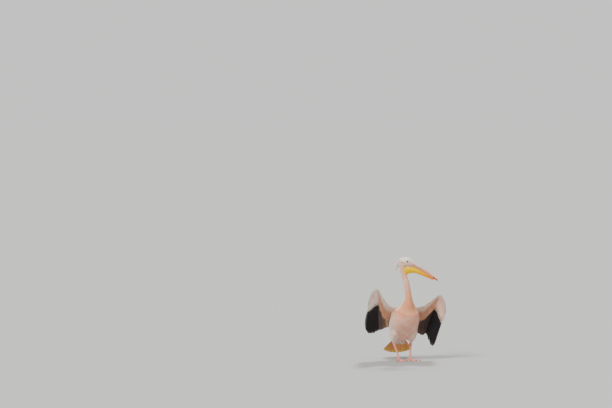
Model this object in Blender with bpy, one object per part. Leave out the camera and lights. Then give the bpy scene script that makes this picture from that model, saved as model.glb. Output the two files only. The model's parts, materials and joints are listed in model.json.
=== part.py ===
"""A standing great white pelican, life size, its wings half open to dry and its head turned to its left.

The bird faces -Y and stands on Z = 0, its left side towards +X. Sizes are in metres. Each body part is one
closed solid, and neighbours are parted by GAP. The tables place the bird by the middle of its trunk; at the
end it is moved so that the middle of its outline, seen from above, is over the origin.
"""

import math

import bmesh
import bpy
import numpy as np

# ---------------------------------------------------------------- driving sizes

GAP = 0.0003
GROWTH = 1.6 * GAP  # how far a neighbour is grown before it is cut out of a part
OUTLINE_MIDDLE = (0.014, 0.0885)  # middle of the outline in plan, before the bird is moved
STEP = 0.004  # the step, as a share, that a surface's slope is measured over
PITCH = math.radians(40.0)  # how far the trunk's axis rises towards the breast
TRUNK_CENTRE = (0.0, 0.045, 0.425)

HEAD_CENTRE = (0.0, -0.09)  # in plan
HEAD_YAW = math.radians(65.0)  # from straight ahead towards the bird's left
EYE_RADIUS = 0.0085
EYE_FORWARD = 0.020
EYE_HEIGHT = 1.137
EYE_OUT = 0.0312

TOE_SPREAD = math.radians(37.0)
MIDDLE_TOE = 0.132
TOE_RADIUS = 0.0065
WEB_THICKNESS = 0.003
FOOT_TOP = 0.022
FOOT_SHOULDER = 0.0154  # height where the foot spreads out under the shank
SHANK_SEAT = 0.0125  # radius of the foot's flat top
HEEL_RADIUS = 0.017
CLAW_LENGTH = 0.013
CLAW_ROOT = 0.0043  # half the height of a claw where it leaves the toe
CLAW_TIP = 0.0007
CLAW_HEIGHT = 0.0075

RIBBON = 0.0018  # thickness of a flight feather at its tip
QUILL = 0.0055  # thickness of the flight feathers where they leave the coverts
COVERED = 0.30  # share of a flight feather's length under the coverts
CAMBER = 0.022
CAMBER_WAY = (0.35, 0.80, 0.45)  # outwards, back and up
FEATHER_START = 0.008  # share of a flight feather's length between its coverts and its solid
GROUP_GAP = 0.0012  # share of the wing left free at each end of a group of feathers
WRIST_GAP = 0.004  # share of the wing left free on each side of the wrist

TAIL_FEATHERS = 14
TAIL_SPREAD = math.radians(32.0)
TAIL_ROOT = 0.055
TAIL_LENGTH = 0.250
TAIL_HALF_WIDTH = 0.073
TAIL_ARCH = 0.02
TAIL_ROUNDING = 0.16  # how much shorter the outer feathers are, as a share
TAIL_DROP = math.radians(55.0)

# Trunk sections along its axis: distance, height above and below the axis, half width.
TRUNK_SECTIONS = (
    (-0.285, 0.028, 0.038, 0.062),
    (-0.245, 0.054, 0.080, 0.096),
    (-0.180, 0.084, 0.122, 0.133),
    (-0.100, 0.108, 0.150, 0.158),
    (-0.010, 0.122, 0.158, 0.168),
    (0.080, 0.126, 0.154, 0.168),
    (0.150, 0.118, 0.140, 0.159),
    (0.205, 0.100, 0.116, 0.139),
    (0.245, 0.074, 0.086, 0.106),
    (0.268, 0.044, 0.050, 0.064),
)

# Neck centre line from the breast to the skull, with its half width and half depth.
NECK_SECTIONS = (
    (0.022, -0.040, 0.560, 0.105, 0.095),
    (0.022, -0.064, 0.600, 0.102, 0.104),
    (0.021, -0.092, 0.644, 0.079, 0.090),
    (0.018, -0.114, 0.692, 0.056, 0.069),
    (0.013, -0.124, 0.745, 0.045, 0.053),
    (0.008, -0.124, 0.805, 0.040, 0.045),
    (0.001, -0.115, 0.865, 0.038, 0.042),
    (-0.013, -0.100, 0.930, 0.036, 0.038),
    (-0.027, -0.083, 0.985, 0.034, 0.036),
    (-0.040, -0.070, 1.035, 0.033, 0.035),
    (-0.044, -0.068, 1.080, 0.030, 0.032),
)
NECK_JOINT = 5  # the section where the two lengths of neck meet

# Head sections along the line to the bill: distance forward, top, bottom, half width.
HEAD_SECTIONS = (
    (-0.095, 1.152, 1.120, 0.010),
    (-0.089, 1.165, 1.085, 0.022),
    (-0.070, 1.176, 1.052, 0.033),
    (-0.040, 1.184, 1.046, 0.0375),
    (-0.008, 1.187, 1.070, 0.0385),
    (0.022, 1.184, 1.086, 0.0365),
    (0.048, 1.175, 1.090, 0.0325),
    (0.070, 1.156, 1.088, 0.0285),
    (0.086, 1.136, 1.086, 0.0255),
)

# Upper bill: distance forward, culmen, edge of the mouth, half width.
BILL_SECTIONS = (
    (0.0863, 1.1345, 1.0855, 0.0253),
    (0.122, 1.114, 1.071, 0.0245),
    (0.157, 1.096, 1.056, 0.0235),
    (0.195, 1.072, 1.034, 0.0225),
    (0.230, 1.047, 1.011, 0.0215),
    (0.265, 1.018, 0.986, 0.0205),
    (0.295, 0.990, 0.963, 0.0185),
    (0.322, 0.964, 0.944, 0.0150),
)
NAIL_SECTIONS = (
    (0.3224, 0.9635, 0.9435, 0.0142),
    (0.336, 0.954, 0.936, 0.0120),
    (0.349, 0.947, 0.928, 0.0090),
    (0.360, 0.942, 0.920, 0.0050),
)
# Lower bill: distance forward, upper edge, lower edge, half width.
MANDIBLE_SECTIONS = (
    (-0.016, 1.082, 1.068, 0.026),
    (0.016, 1.096, 1.079, 0.0285),
    (0.050, 1.098, 1.081, 0.0275),
    (0.088, 1.092, 1.075, 0.0258),
    (0.157, 1.064, 1.046, 0.0240),
    (0.230, 1.020, 1.002, 0.0220),
    (0.295, 0.972, 0.954, 0.0190),
    (0.3215, 0.953, 0.936, 0.0125),
)
# Pouch: distance forward, upper edge, lower edge, half width.
POUCH_SECTIONS = (
    (-0.046, 1.045, 1.000, 0.016),
    (-0.030, 1.070, 0.978, 0.027),
    (0.000, 1.090, 0.988, 0.031),
    (0.040, 1.092, 1.004, 0.030),
    (0.090, 1.080, 1.008, 0.027),
    (0.140, 1.060, 0.997, 0.0245),
    (0.190, 1.034, 0.979, 0.0225),
    (0.240, 1.002, 0.960, 0.0205),
    (0.285, 0.967, 0.942, 0.0170),
    (0.312, 0.946, 0.934, 0.0100),
)
# Crest of long feathers on the nape: distance forward, height, half width, half thickness.
CREST_SECTIONS = (
    (-0.060, 1.158, 0.026, 0.012),
    (-0.088, 1.138, 0.027, 0.012),
    (-0.104, 1.105, 0.024, 0.011),
    (-0.113, 1.070, 0.019, 0.009),
    (-0.121, 1.038, 0.013, 0.006),
    (-0.129, 1.010, 0.005, 0.002),
)

# Legs, from the foot up to the belly: position across and along, height, half width, half depth.
LEGS = {
    "left": {
        "foot": (0.079, 0.045),
        "turn": math.radians(18.0),
        "shank": (
            (0.079, 0.045, FOOT_TOP + GAP, 0.0125, 0.0150),
            (0.080, 0.049, 0.045, 0.0105, 0.0125),
            (0.083, 0.060, 0.100, 0.0105, 0.0130),
            (0.086, 0.072, 0.146, 0.0125, 0.0150),
            (0.088, 0.078, 0.170, 0.0160, 0.0200),
            (0.090, 0.075, 0.196, 0.0150, 0.0180),
        ),
        "thigh": (
            (0.090, 0.075, 0.196 + GAP, 0.0190, 0.0230),
            (0.095, 0.066, 0.222, 0.0340, 0.0400),
            (0.098, 0.052, 0.262, 0.0510, 0.0620),
            (0.098, 0.040, 0.310, 0.0620, 0.0820),
            (0.096, 0.030, 0.360, 0.0640, 0.0860),
            (0.090, 0.022, 0.405, 0.0540, 0.0720),
            (0.080, 0.018, 0.440, 0.0340, 0.0440),
        ),
    },
    "right": {
        "foot": (-0.062, 0.017),
        "turn": math.radians(10.0),
        "shank": (
            (-0.062, 0.017, FOOT_TOP + GAP, 0.0125, 0.0150),
            (-0.066, 0.023, 0.045, 0.0105, 0.0125),
            (-0.079, 0.040, 0.100, 0.0105, 0.0130),
            (-0.092, 0.056, 0.146, 0.0125, 0.0150),
            (-0.100, 0.064, 0.170, 0.0160, 0.0200),
            (-0.106, 0.065, 0.196, 0.0150, 0.0180),
        ),
        "thigh": (
            (-0.106, 0.065, 0.196 + GAP, 0.0190, 0.0230),
            (-0.110, 0.058, 0.222, 0.0330, 0.0400),
            (-0.110, 0.048, 0.262, 0.0480, 0.0620),
            (-0.104, 0.038, 0.310, 0.0600, 0.0820),
            (-0.098, 0.030, 0.360, 0.0640, 0.0860),
            (-0.090, 0.022, 0.405, 0.0540, 0.0720),
            (-0.080, 0.018, 0.440, 0.0340, 0.0440),
        ),
    },
}

# Wings: how far along the wing each point lies, then its place with X outwards from the bird's middle.
WINGS = {
    "left": {
        "front": (
            (0.00, 0.050, -0.055, 0.590),
            (0.15, 0.178, -0.095, 0.617),
            (0.35, 0.278, -0.112, 0.676),
            (0.50, 0.360, -0.121, 0.742),
            (0.56, 0.388, -0.121, 0.752),
            (0.66, 0.428, -0.112, 0.712),
            (0.80, 0.456, -0.096, 0.640),
            (1.00, 0.470, -0.074, 0.555),
        ),
        "bone": (
            (0.00, 0.055, 0.050, 0.568),
            (0.15, 0.225, 0.100, 0.520),
            (0.35, 0.300, 0.005, 0.620),
            (0.55, 0.382, -0.098, 0.722),
            (0.66, 0.414, -0.098, 0.690),
            (0.80, 0.440, -0.088, 0.630),
            (1.00, 0.458, -0.068, 0.548),
        ),
        "tip": (
            (0.00, 0.062, 0.250, 0.362),
            (0.15, 0.214, 0.260, 0.282),
            (0.35, 0.258, 0.185, 0.265),
            (0.55, 0.272, 0.120, 0.285),
            (0.75, 0.296, 0.070, 0.215),
            (0.90, 0.326, 0.040, 0.152),
            (1.00, 0.358, 0.030, 0.165),
        ),
    },
    "right": {
        "front": (
            (0.00, 0.050, -0.050, 0.592),
            (0.15, 0.176, -0.072, 0.622),
            (0.35, 0.262, -0.098, 0.706),
            (0.48, 0.308, -0.122, 0.782),
            (0.56, 0.334, -0.134, 0.822),
            (0.66, 0.376, -0.130, 0.822),
            (0.80, 0.414, -0.108, 0.766),
            (1.00, 0.438, -0.074, 0.680),
        ),
        "bone": (
            (0.00, 0.055, 0.050, 0.570),
            (0.15, 0.205, 0.078, 0.535),
            (0.35, 0.268, -0.004, 0.640),
            (0.55, 0.334, -0.106, 0.792),
            (0.66, 0.368, -0.108, 0.786),
            (0.80, 0.398, -0.092, 0.742),
            (1.00, 0.424, -0.064, 0.672),
        ),
        "tip": (
            (0.00, 0.062, 0.250, 0.365),
            (0.15, 0.152, 0.270, 0.350),
            (0.35, 0.206, 0.225, 0.335),
            (0.55, 0.262, 0.180, 0.325),
            (0.75, 0.330, 0.150, 0.300),
            (0.90, 0.398, 0.130, 0.308),
            (1.00, 0.440, 0.110, 0.372),
        ),
    },
}
# Thickness of the arm from the shoulder to the end of the hand.
ARM_THICKNESS = ((0.0, 0.050), (0.15, 0.036), (0.35, 0.030), (0.55, 0.022), (0.75, 0.020), (1.0, 0.014))
# Groups of flight feathers: first and last place along the wing, how many, how deep the notches run.
FEATHER_GROUPS = (
    ("tertials", 0.00, 0.15, 4, 0.045),
    ("secondaries", 0.15, 0.55, 12, 0.050),
    ("primaries", 0.55, 1.00, 9, 0.085),
)
WRIST = 0.55
# Across the arm: reach from the front edge to the end of the coverts, and thickness there as a share.
ARM_PROFILE = ((-1.0, 0.30), (-0.72, 0.85), (-0.25, 1.00), (0.08, 0.62), (COVERED, 0.20))
# Root of the tail: distance along it, half width, half thickness.
TAIL_ROOT_SECTIONS = (
    (-0.050, 0.060, 0.042),
    (0.0, 0.070, 0.034),
    (0.030, 0.077, 0.022),
    (TAIL_ROOT, 0.078, 0.0090),
)
# Toes: angle from straight ahead towards the outside, and length, both as shares.
TOES = ((-2.35, 0.46), (-0.78, 0.80), (0.0, 1.0), (0.84, 0.96))
# Along a toe: distance from the shank as a share, height.
TOE_PROFILE = ((0.16, FOOT_SHOULDER), (0.42, 0.0150), (0.72, 0.0115), (0.93, 0.0090), (1.0, 0.0040))
TOE_SHOULDER = 0.35  # height of a toe's edges as a share of its ridge

# ---------------------------------------------------------------- colours

WHITE = (0.86, 0.79, 0.75)
PEACH = (0.84, 0.62, 0.48)
PALE_BILL = (0.62, 0.58, 0.62)
YELLOW = (0.78, 0.50, 0.05)
BLACK = (0.016, 0.012, 0.018)
GREY = (0.13, 0.11, 0.12)
PINK = (0.72, 0.42, 0.36)
RED = (0.55, 0.08, 0.03)
HORN = (0.10, 0.07, 0.06)
EYE_BROWN = (0.05, 0.015, 0.01)


def clear_scene():
    """Removes every object, so that a second run starts clean."""
    for old in list(bpy.data.objects):
        bpy.data.objects.remove(old, do_unlink=True)


def new_collection(name):
    """A collection of that name, linked to the scene."""
    found = bpy.data.collections.new(name)
    bpy.context.scene.collection.children.link(found)
    return found


def finish(name, colour, roughness):
    """A Principled material."""
    made = bpy.data.materials.new(name)
    made.use_nodes = True
    shader = made.node_tree.nodes["Principled BSDF"]
    shader.inputs["Base Color"].default_value = (*colour, 1.0)
    shader.inputs["Roughness"].default_value = roughness
    shader.inputs["Metallic"].default_value = 0.0
    made.diffuse_color = (*colour, 1.0)
    return made


def object_from(mesh, name, colour, roughness=0.8):
    """A smooth-shaded body part with a material of its own, in the pelican's collection."""
    mesh.name = name
    made = bpy.data.objects.new(name, mesh)
    mesh.materials.append(finish(name, colour, roughness))
    mesh.shade_smooth()
    mesh.set_sharp_from_angle(angle=math.radians(40.0))
    PELICAN.objects.link(made)
    return made


def through(points, at):
    """The smooth curve through points, whose first number is the place along it, read at each place in at."""
    table = np.array(points, float)
    place, value = table[:, 0], table[:, 1:]
    slope = np.gradient(value, place, axis=0)
    at = np.atleast_1d(np.asarray(at, float))
    i = np.clip(np.searchsorted(place, at, side="right") - 1, 0, len(place) - 2)
    span = (place[i + 1] - place[i])[:, None]
    t = ((at - place[i])[:, None] / span).clip(0.0, 1.0)
    start, end = value[i], value[i + 1]
    return (
        (2 * t**3 - 3 * t**2 + 1) * start
        + (t**3 - 2 * t**2 + t) * span * slope[i]
        + (3 * t**2 - 2 * t**3) * end
        + (t**3 - t**2) * span * slope[i + 1]
    )


def oval(centre, across, up, half_width, above, below, count, power=2.0):
    """A closed ring: an oval with its own heights above and below the centre; a higher power is squarer."""
    angle = np.linspace(0.0, 2 * math.pi, count, endpoint=False)
    x = np.sign(np.cos(angle)) * np.abs(np.cos(angle)) ** (2.0 / power) * half_width
    y = np.sign(np.sin(angle)) * np.abs(np.sin(angle)) ** (2.0 / power)
    y = np.where(y > 0, y * above, y * below)
    return np.asarray(centre) + x[:, None] * np.asarray(across) + y[:, None] * np.asarray(up)


def loft(rings):
    """A closed mesh through rings of as many points each, with flat ends."""
    cage = bmesh.new()
    loops = [[cage.verts.new(point) for point in ring] for ring in rings]
    for near, far in zip(loops, loops[1:]):
        for k in range(len(near)):
            after = (k + 1) % len(near)
            cage.faces.new((near[k], near[after], far[after], far[k]))
    cage.faces.new(reversed(loops[0]))
    cage.faces.new(loops[-1])
    bmesh.ops.recalc_face_normals(cage, faces=cage.faces)
    mesh = bpy.data.meshes.new("loft")
    cage.to_mesh(mesh)
    cage.free()
    return mesh


def clear_of(part, *neighbours):
    """Cuts neighbours, grown by the gap, out of a part."""
    for neighbour in neighbours:
        grown = neighbour.data.copy()
        normals = [vertex.normal.copy() for vertex in grown.vertices]
        for vertex, normal in zip(grown.vertices, normals):
            vertex.co += normal * GROWTH
        cutter = bpy.data.objects.new(f"room_for_{neighbour.name}_in_{part.name}", grown)
        cutter.hide_render = True
        cutter.display_type = "WIRE"
        CUTTERS.objects.link(cutter)
        cut = part.modifiers.new(f"clear_of_{neighbour.name}", "BOOLEAN")
        cut.operation = "DIFFERENCE"
        cut.solver = "EXACT"
        cut.object = cutter


# ---------------------------------------------------------------- trunk, neck and tail


def trunk():
    """The trunk, a squarish oval in section, along an axis that rises to the breast."""
    forward = np.array([0.0, -math.cos(PITCH), math.sin(PITCH)])
    back = np.array([0.0, math.sin(PITCH), math.cos(PITCH)])
    rings = [
        oval(np.array(TRUNK_CENTRE) + along * forward, (1, 0, 0), back, half, above, below, 28, 2.2)
        for along, above, below, half in TRUNK_SECTIONS
    ]
    return object_from(loft(rings), "trunk", WHITE)


def along_tube(sections, count):
    """Rings square to the line through sections of x, y, z, half width and half depth."""
    table = np.array(sections, float)
    line = table[:, :3]
    direction = np.gradient(line, axis=0)
    direction /= np.linalg.norm(direction, axis=1)[:, None]
    rings = []
    for centre, ahead, (half_width, half_depth) in zip(line, direction, table[:, 3:]):
        depth = np.cross(ahead, (1.0, 0.0, 0.0))
        depth /= np.linalg.norm(depth)
        across = np.cross(depth, ahead)
        rings.append(oval(centre, across, depth, half_width, half_depth, half_depth, count))
    return rings


def neck(trunk_part):
    """The neck in two lengths, the lower one flaring into the breast."""
    rings = along_tube(NECK_SECTIONS, 20)
    table = np.array(NECK_SECTIONS, float)[:, :3]
    ahead = table[NECK_JOINT + 1] - table[NECK_JOINT - 1]
    upper_start = rings[NECK_JOINT] + ahead / np.linalg.norm(ahead) * GAP
    lower = object_from(loft(rings[: NECK_JOINT + 1]), "neck_lower", PEACH)
    upper = object_from(loft([upper_start, *rings[NECK_JOINT + 1 :]]), "neck_upper", WHITE)
    clear_of(lower, trunk_part)
    return lower, upper


def tail(trunk_part):
    """The feathered root of the tail and the fan of tail feathers."""
    forward = np.array([0.0, -math.cos(PITCH), math.sin(PITCH)])
    root = np.array(TRUNK_CENTRE) + TRUNK_SECTIONS[0][0] * forward
    along = np.array([0.0, math.cos(TAIL_DROP), -math.sin(TAIL_DROP)])
    up = np.array([0.0, math.sin(TAIL_DROP), math.cos(TAIL_DROP)])
    rings = [
        oval(root + at * along, (1, 0, 0), up, half, thick, thick, 20)
        for at, half, thick in TAIL_ROOT_SECTIONS
    ]
    base = object_from(loft(rings), "tail_root", WHITE)
    clear_of(base, trunk_part)

    def place(share, reach):
        """A point of the fan, share from -1 to 1 across it."""
        angle = share * TAIL_SPREAD
        start = root + along * (TAIL_ROOT + GAP) + np.array([share * TAIL_HALF_WIDTH, 0.0, 0.0])
        length = TAIL_LENGTH * (1.0 - TAIL_ROUNDING * share**2) - TAIL_ROOT
        way = along * math.cos(angle) + np.array([math.sin(angle), 0.0, 0.0])
        arch = up * TAIL_ARCH * (1.0 - share**2) * reach
        return start + way * length * reach + arch

    shares = np.linspace(-1.0, 1.0, TAIL_FEATHERS + 1)
    fan = feather_fan(place, shares, (0.0, 0.35, 0.7), 0.06, 0.006)
    object_from(fan, "tail_fan", PEACH)


# ---------------------------------------------------------------- feathers in a fan


def normal_at(place, share, reach):
    """The unit normal of the surface that place(share, reach) describes."""
    across = place(share + STEP, reach) - place(share - STEP, reach)
    along = place(share, reach + STEP) - place(share, reach - STEP)
    normal = np.cross(across, along)
    return normal / np.linalg.norm(normal)


def feather_fan(place, edges, rows, notch, quill):
    """A thin curved blade of feathers side by side, with a round tip on each.

    place(share, reach) is a point of the blade; edges are the shares between feathers; rows are reaches from
    the roots; notch is how far short of its tip each feather leaves its neighbour.
    """
    rows = [*rows, 1.0 - notch]
    middle = np.array([[place(edge, reach) for reach in rows] for edge in edges])
    tips = [
        [
            place(near + (far - near) * part, 1.0 - notch * short)
            for part, short in ((0.18, 0.35), (0.5, 0.0), (0.82, 0.35))
        ]
        for near, far in zip(edges, edges[1:])
    ]
    normal = np.array([[normal_at(place, edge, reach) for reach in rows] for edge in edges])
    half = (quill + (RIBBON - quill) * np.array(rows))[None, :, None] / 2
    cage = bmesh.new()
    sides = []
    for sign in (1.0, -1.0):
        grid = [[cage.verts.new(point) for point in line] for line in middle + sign * half * normal]
        ends = []
        for k, points in enumerate(tips):
            out = (normal[k, -1] + normal[k + 1, -1]) / 2 * sign * RIBBON / 2
            ends.append([cage.verts.new(point + out) for point in points])
        sides.append((grid, ends))
        for a, b in zip(grid, grid[1:]):
            for j in range(len(rows) - 1):
                cage.faces.new((a[j], a[j + 1], b[j + 1], b[j]))
        for k, end in enumerate(ends):
            cage.faces.new((grid[k][-1], *end, grid[k + 1][-1]))

    def rim(grid, ends):
        """The blade's outline, once round."""
        yield from grid[0]
        for k, end in enumerate(ends):
            yield from end
            yield grid[k + 1][-1]
        yield from reversed(grid[-1][:-1])
        yield from (line[0] for line in reversed(grid[1:-1]))

    upper, lower = (list(rim(*side)) for side in sides)
    for k in range(len(upper)):
        after = (k + 1) % len(upper)
        cage.faces.new((upper[k], upper[after], lower[after], lower[k]))
    bmesh.ops.recalc_face_normals(cage, faces=cage.faces)
    mesh = bpy.data.meshes.new("fan")
    cage.to_mesh(mesh)
    cage.free()
    return mesh


# ---------------------------------------------------------------- wings


class Wing:
    """One wing as a curved surface: a feather's line starts at the front edge, crosses the bone and ends at
    the feather's tip."""

    def __init__(self, side):
        self.side = side
        self.out = np.array([1.0 if side == "left" else -1.0, 1.0, 1.0])
        self.lines = WINGS[side]

    def point(self, share, reach):
        """A point of the wing; reach is -1 at the front edge, 0 at the bone and 1 at the tip."""
        front, bone, tip = (through(self.lines[line], share)[0] for line in ("front", "bone", "tip"))
        covered = bone + (tip - bone) * COVERED
        if reach < COVERED:
            t = (reach + 1.0) / (COVERED + 1.0)
            return ((1 - t) ** 2 * front + 2 * t * (1 - t) * bone + t**2 * covered) * self.out
        bend = np.array(CAMBER_WAY) * CAMBER * math.sin(math.pi * (reach - COVERED) / (1.0 - COVERED))
        return (bone + (tip - bone) * reach + bend) * self.out

    def arm(self, name, shares, colour):
        """A length of arm with its coverts, rounded in front and thin behind."""
        reaches, swell = zip(*ARM_PROFILE)
        middle = np.array([[self.point(share, reach) for reach in reaches] for share in shares])
        normal = np.array([[normal_at(self.point, share, reach) for reach in reaches] for share in shares])
        full = through(ARM_THICKNESS, shares)[:, 0]
        half = full[:, None, None] * np.array(swell)[None, :, None] / 2
        rings = [
            np.concatenate([upper, lower[::-1]])
            for upper, lower in zip(middle + half * normal, middle - half * normal)
        ]
        return object_from(loft(rings), f"{name}_{self.side}", colour)

    def feathers(self, name, first, last, count, notch, colour):
        """A group of flight feathers, from under the coverts to the tips."""
        start = COVERED + FEATHER_START
        edges = np.linspace(first, last, count + 1)
        edges[0] += GROUP_GAP
        edges[-1] -= GROUP_GAP

        def place(share, reach):
            return self.point(share, start + (1.0 - start) * reach)

        fan = feather_fan(place, edges, (0.0, 0.33, 0.66), notch, QUILL)
        return object_from(fan, f"{name}_{self.side}", colour)


def wings(trunk_part, neck_part):
    """Both wings: upper and fore arm, hand, and three groups of flight feathers."""
    colours = {"tertials": WHITE, "secondaries": GREY, "primaries": BLACK}
    for side in ("left", "right"):
        wing = Wing(side)
        arm_shares = np.concatenate(
            [np.linspace(0.0, 0.15, 5), np.linspace(0.15, WRIST, 13)[1:-1], [WRIST - WRIST_GAP]]
        )
        hand_shares = np.concatenate([[WRIST + WRIST_GAP], np.linspace(WRIST, 1.0, 10)[1:]])
        arm = wing.arm("wing_arm", arm_shares, WHITE)
        wing.arm("wing_hand", hand_shares, WHITE)
        clear_of(arm, trunk_part, neck_part)
        for name, first, last, count, notch in FEATHER_GROUPS:
            group = wing.feathers(name, first, last, count, notch, colours[name])
            if name == "tertials":
                clear_of(group, trunk_part)


# ---------------------------------------------------------------- head and bill


def head_axes():
    """The head's middle in plan, the way it faces, and the way to its left."""
    ahead = np.array([math.sin(HEAD_YAW), -math.cos(HEAD_YAW), 0.0])
    left = np.array([math.cos(HEAD_YAW), math.sin(HEAD_YAW), 0.0])
    return np.array([*HEAD_CENTRE, 0.0]), ahead, left


def upright_loft(sections, count, power=2.0):
    """A loft through upright sections square to the head's line: distance, top, bottom, half width."""
    centre, ahead, left = head_axes()
    rings = []
    for along, top, bottom, half in sections:
        middle = centre + ahead * along + np.array([0.0, 0.0, (top + bottom) / 2])
        tall = (top - bottom) / 2
        rings.append(oval(middle, left, (0, 0, 1), half, tall, tall, count, power))
    return loft(rings)


def head(neck_part):
    """Head, eyes, crest, bill and pouch."""
    centre, ahead, left = head_axes()
    skull = object_from(upright_loft(HEAD_SECTIONS, 24, 2.1), "head", WHITE)
    for side, way in (("left", 1.0), ("right", -1.0)):
        place = centre + ahead * EYE_FORWARD + left * EYE_OUT * way + np.array([0.0, 0.0, EYE_HEIGHT])
        ball = bmesh.new()
        bmesh.ops.create_uvsphere(ball, u_segments=14, v_segments=9, radius=EYE_RADIUS)
        mesh = bpy.data.meshes.new("eye")
        bmesh.ops.translate(ball, verts=ball.verts, vec=place)
        ball.to_mesh(mesh)
        ball.free()
        clear_of(skull, object_from(mesh, f"eye_{side}", EYE_BROWN, 0.1))
    clear_of(neck_part, skull)

    bill = object_from(upright_loft(BILL_SECTIONS, 16, 2.3), "bill_upper", PALE_BILL, 0.45)
    object_from(upright_loft(NAIL_SECTIONS, 12), "bill_nail", RED, 0.35)
    jaw = object_from(upright_loft(MANDIBLE_SECTIONS, 16, 2.6), "bill_lower", PALE_BILL, 0.45)
    clear_of(jaw, skull, bill, neck_part)
    pouch = object_from(upright_loft(POUCH_SECTIONS, 16), "pouch", YELLOW, 0.5)
    clear_of(pouch, skull, bill, jaw, neck_part)

    crest_rings = []
    line = np.array([[along, height] for along, height, _, _ in CREST_SECTIONS])
    slope = np.gradient(line, axis=0)
    for (along, height, half, thick), (run, rise) in zip(CREST_SECTIONS, slope):
        square = (ahead * rise - np.array([0.0, 0.0, run])) / math.hypot(run, rise)
        middle = centre + ahead * along + np.array([0.0, 0.0, height])
        crest_rings.append(oval(middle, left, square, half, thick, thick, 14))
    crest = object_from(loft(crest_rings), "crest", WHITE)
    clear_of(crest, skull, neck_part)


# ---------------------------------------------------------------- legs and feet


def level_rings(sections, count):
    """Level rings at x, y, z with a half width and half depth."""
    return [
        oval((x, y, z), (1, 0, 0), (0, 1, 0), wide, deep, deep, count)
        for x, y, z, wide, deep in sections
    ]


def foot(side, place, turn):
    """A webbed foot, flat underneath: four toes with skin between them, and a claw on each toe."""
    outward = 1.0 if side == "left" else -1.0
    columns = []
    for k, (angle, length) in enumerate(TOES):
        reach = MIDDLE_TOE * length
        half = TOE_RADIUS * 1.1 / reach
        for side_way, shrink, ridge in ((-1, 0.95, TOE_SHOULDER), (0, 1.0, 1.0), (1, 0.95, TOE_SHOULDER)):
            columns.append((angle * TOE_SPREAD + side_way * half, reach * shrink, ridge))
        if k + 1 < len(TOES):
            after, longer = TOES[k + 1]
            middle = (angle + after) / 2 * TOE_SPREAD
            columns.append((middle, MIDDLE_TOE * (length + longer) / 2 * 0.86, 0.0))
    cage = bmesh.new()

    def spot(angle, reach, height):
        """A point of the foot, from its polar place."""
        x = math.sin(angle) * reach * outward
        y = -math.cos(angle) * reach
        cosine, sine = math.cos(turn), math.sin(turn)
        return (place[0] + x * cosine - y * sine, place[1] + x * sine + y * cosine, height)

    def column(angle, reach, ridge, raised):
        """Points outwards along one line of the foot, over it or under it."""
        points = []
        for k, (share, height) in enumerate(TOE_PROFILE):
            top = height if k == 0 else WEB_THICKNESS + (height - WEB_THICKNESS) * ridge
            points.append(cage.verts.new(spot(angle, reach * share, top if raised else 0.0)))
        return points

    upper = [column(*line, True) for line in columns]
    lower = [column(*line, False) for line in columns]
    back_angles = np.linspace(columns[-1][0], columns[0][0] + 2 * math.pi, 6)[1:-1]
    heel_up = [cage.verts.new(spot(angle, HEEL_RADIUS, FOOT_SHOULDER)) for angle in back_angles]
    heel_down = [cage.verts.new(spot(angle, HEEL_RADIUS, 0.0)) for angle in back_angles]
    for layer in (upper, lower):
        for near, far in zip(layer, layer[1:]):
            for j in range(len(TOE_PROFILE) - 1):
                cage.faces.new((near[j], near[j + 1], far[j + 1], far[j]))
    ring_up = [line[0] for line in upper] + heel_up
    ring_down = [line[0] for line in lower] + heel_down
    crown = [
        cage.verts.new(spot(angle, SHANK_SEAT, FOOT_TOP))
        for angle in [line[0] for line in columns] + list(back_angles)
    ]
    for k in range(len(ring_up)):
        after = (k + 1) % len(ring_up)
        cage.faces.new((ring_up[k], ring_up[after], crown[after], crown[k]))
    cage.faces.new(crown)
    cage.faces.new(ring_down)
    outline_up = [*reversed(upper[0]), *reversed(heel_up), *upper[-1][:-1]]
    outline_down = [*reversed(lower[0]), *reversed(heel_down), *lower[-1][:-1]]
    outline_up += [line[-1] for line in reversed(upper[1:])]
    outline_down += [line[-1] for line in reversed(lower[1:])]
    for k in range(len(outline_up)):
        after = (k + 1) % len(outline_up)
        cage.faces.new((outline_up[k], outline_up[after], outline_down[after], outline_down[k]))
    bmesh.ops.recalc_face_normals(cage, faces=cage.faces)
    mesh = bpy.data.meshes.new("foot")
    cage.to_mesh(mesh)
    cage.free()
    object_from(mesh, f"foot_{side}", PINK, 0.6)

    for number, (angle, length) in enumerate(TOES, 1):
        reach = MIDDLE_TOE * length
        rings = []
        for share in (0.0, 0.35, 0.7, 1.0):
            size = CLAW_ROOT + (CLAW_TIP - CLAW_ROOT) * share
            centre = spot(angle * TOE_SPREAD, reach + GAP * 2 + CLAW_LENGTH * share, 0.0)
            height = CLAW_HEIGHT + 0.0012 * math.sin(math.pi * share) - 0.0045 * share**2
            across = np.subtract(spot(angle * TOE_SPREAD + 0.5 * math.pi, 1.0, 0.0), (*place, 0.0))
            rings.append(oval((*centre[:2], height), across, (0, 0, 1), size * 0.8, size, size, 8))
        object_from(loft(rings), f"claw_{side}_{number}", HORN, 0.35)


def legs(trunk_part):
    """Thighs, bare shanks and feet."""
    for side, leg in LEGS.items():
        foot(side, leg["foot"], leg["turn"])
        object_from(loft(level_rings(leg["shank"], 14)), f"shank_{side}", PINK, 0.6)
        thigh = object_from(loft(level_rings(leg["thigh"], 18)), f"thigh_{side}", WHITE)
        clear_of(thigh, trunk_part)


clear_scene()
PELICAN = new_collection("pelican")
CUTTERS = new_collection("cutters")
body = trunk()
lower_neck, upper_neck = neck(body)
tail(body)
wings(body, lower_neck)
head(upper_neck)
legs(body)
for made in (*PELICAN.objects, *CUTTERS.objects):
    made.location = (-OUTLINE_MIDDLE[0], -OUTLINE_MIDDLE[1], 0.0)
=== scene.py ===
"""The looks of a life-size great white pelican: skin, plumage, flight feathers, head, bill, pouch and feet.

The bird faces -Y, its left side is towards +X, and it stands on Z = 0. Sizes are in metres.
"""

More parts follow.
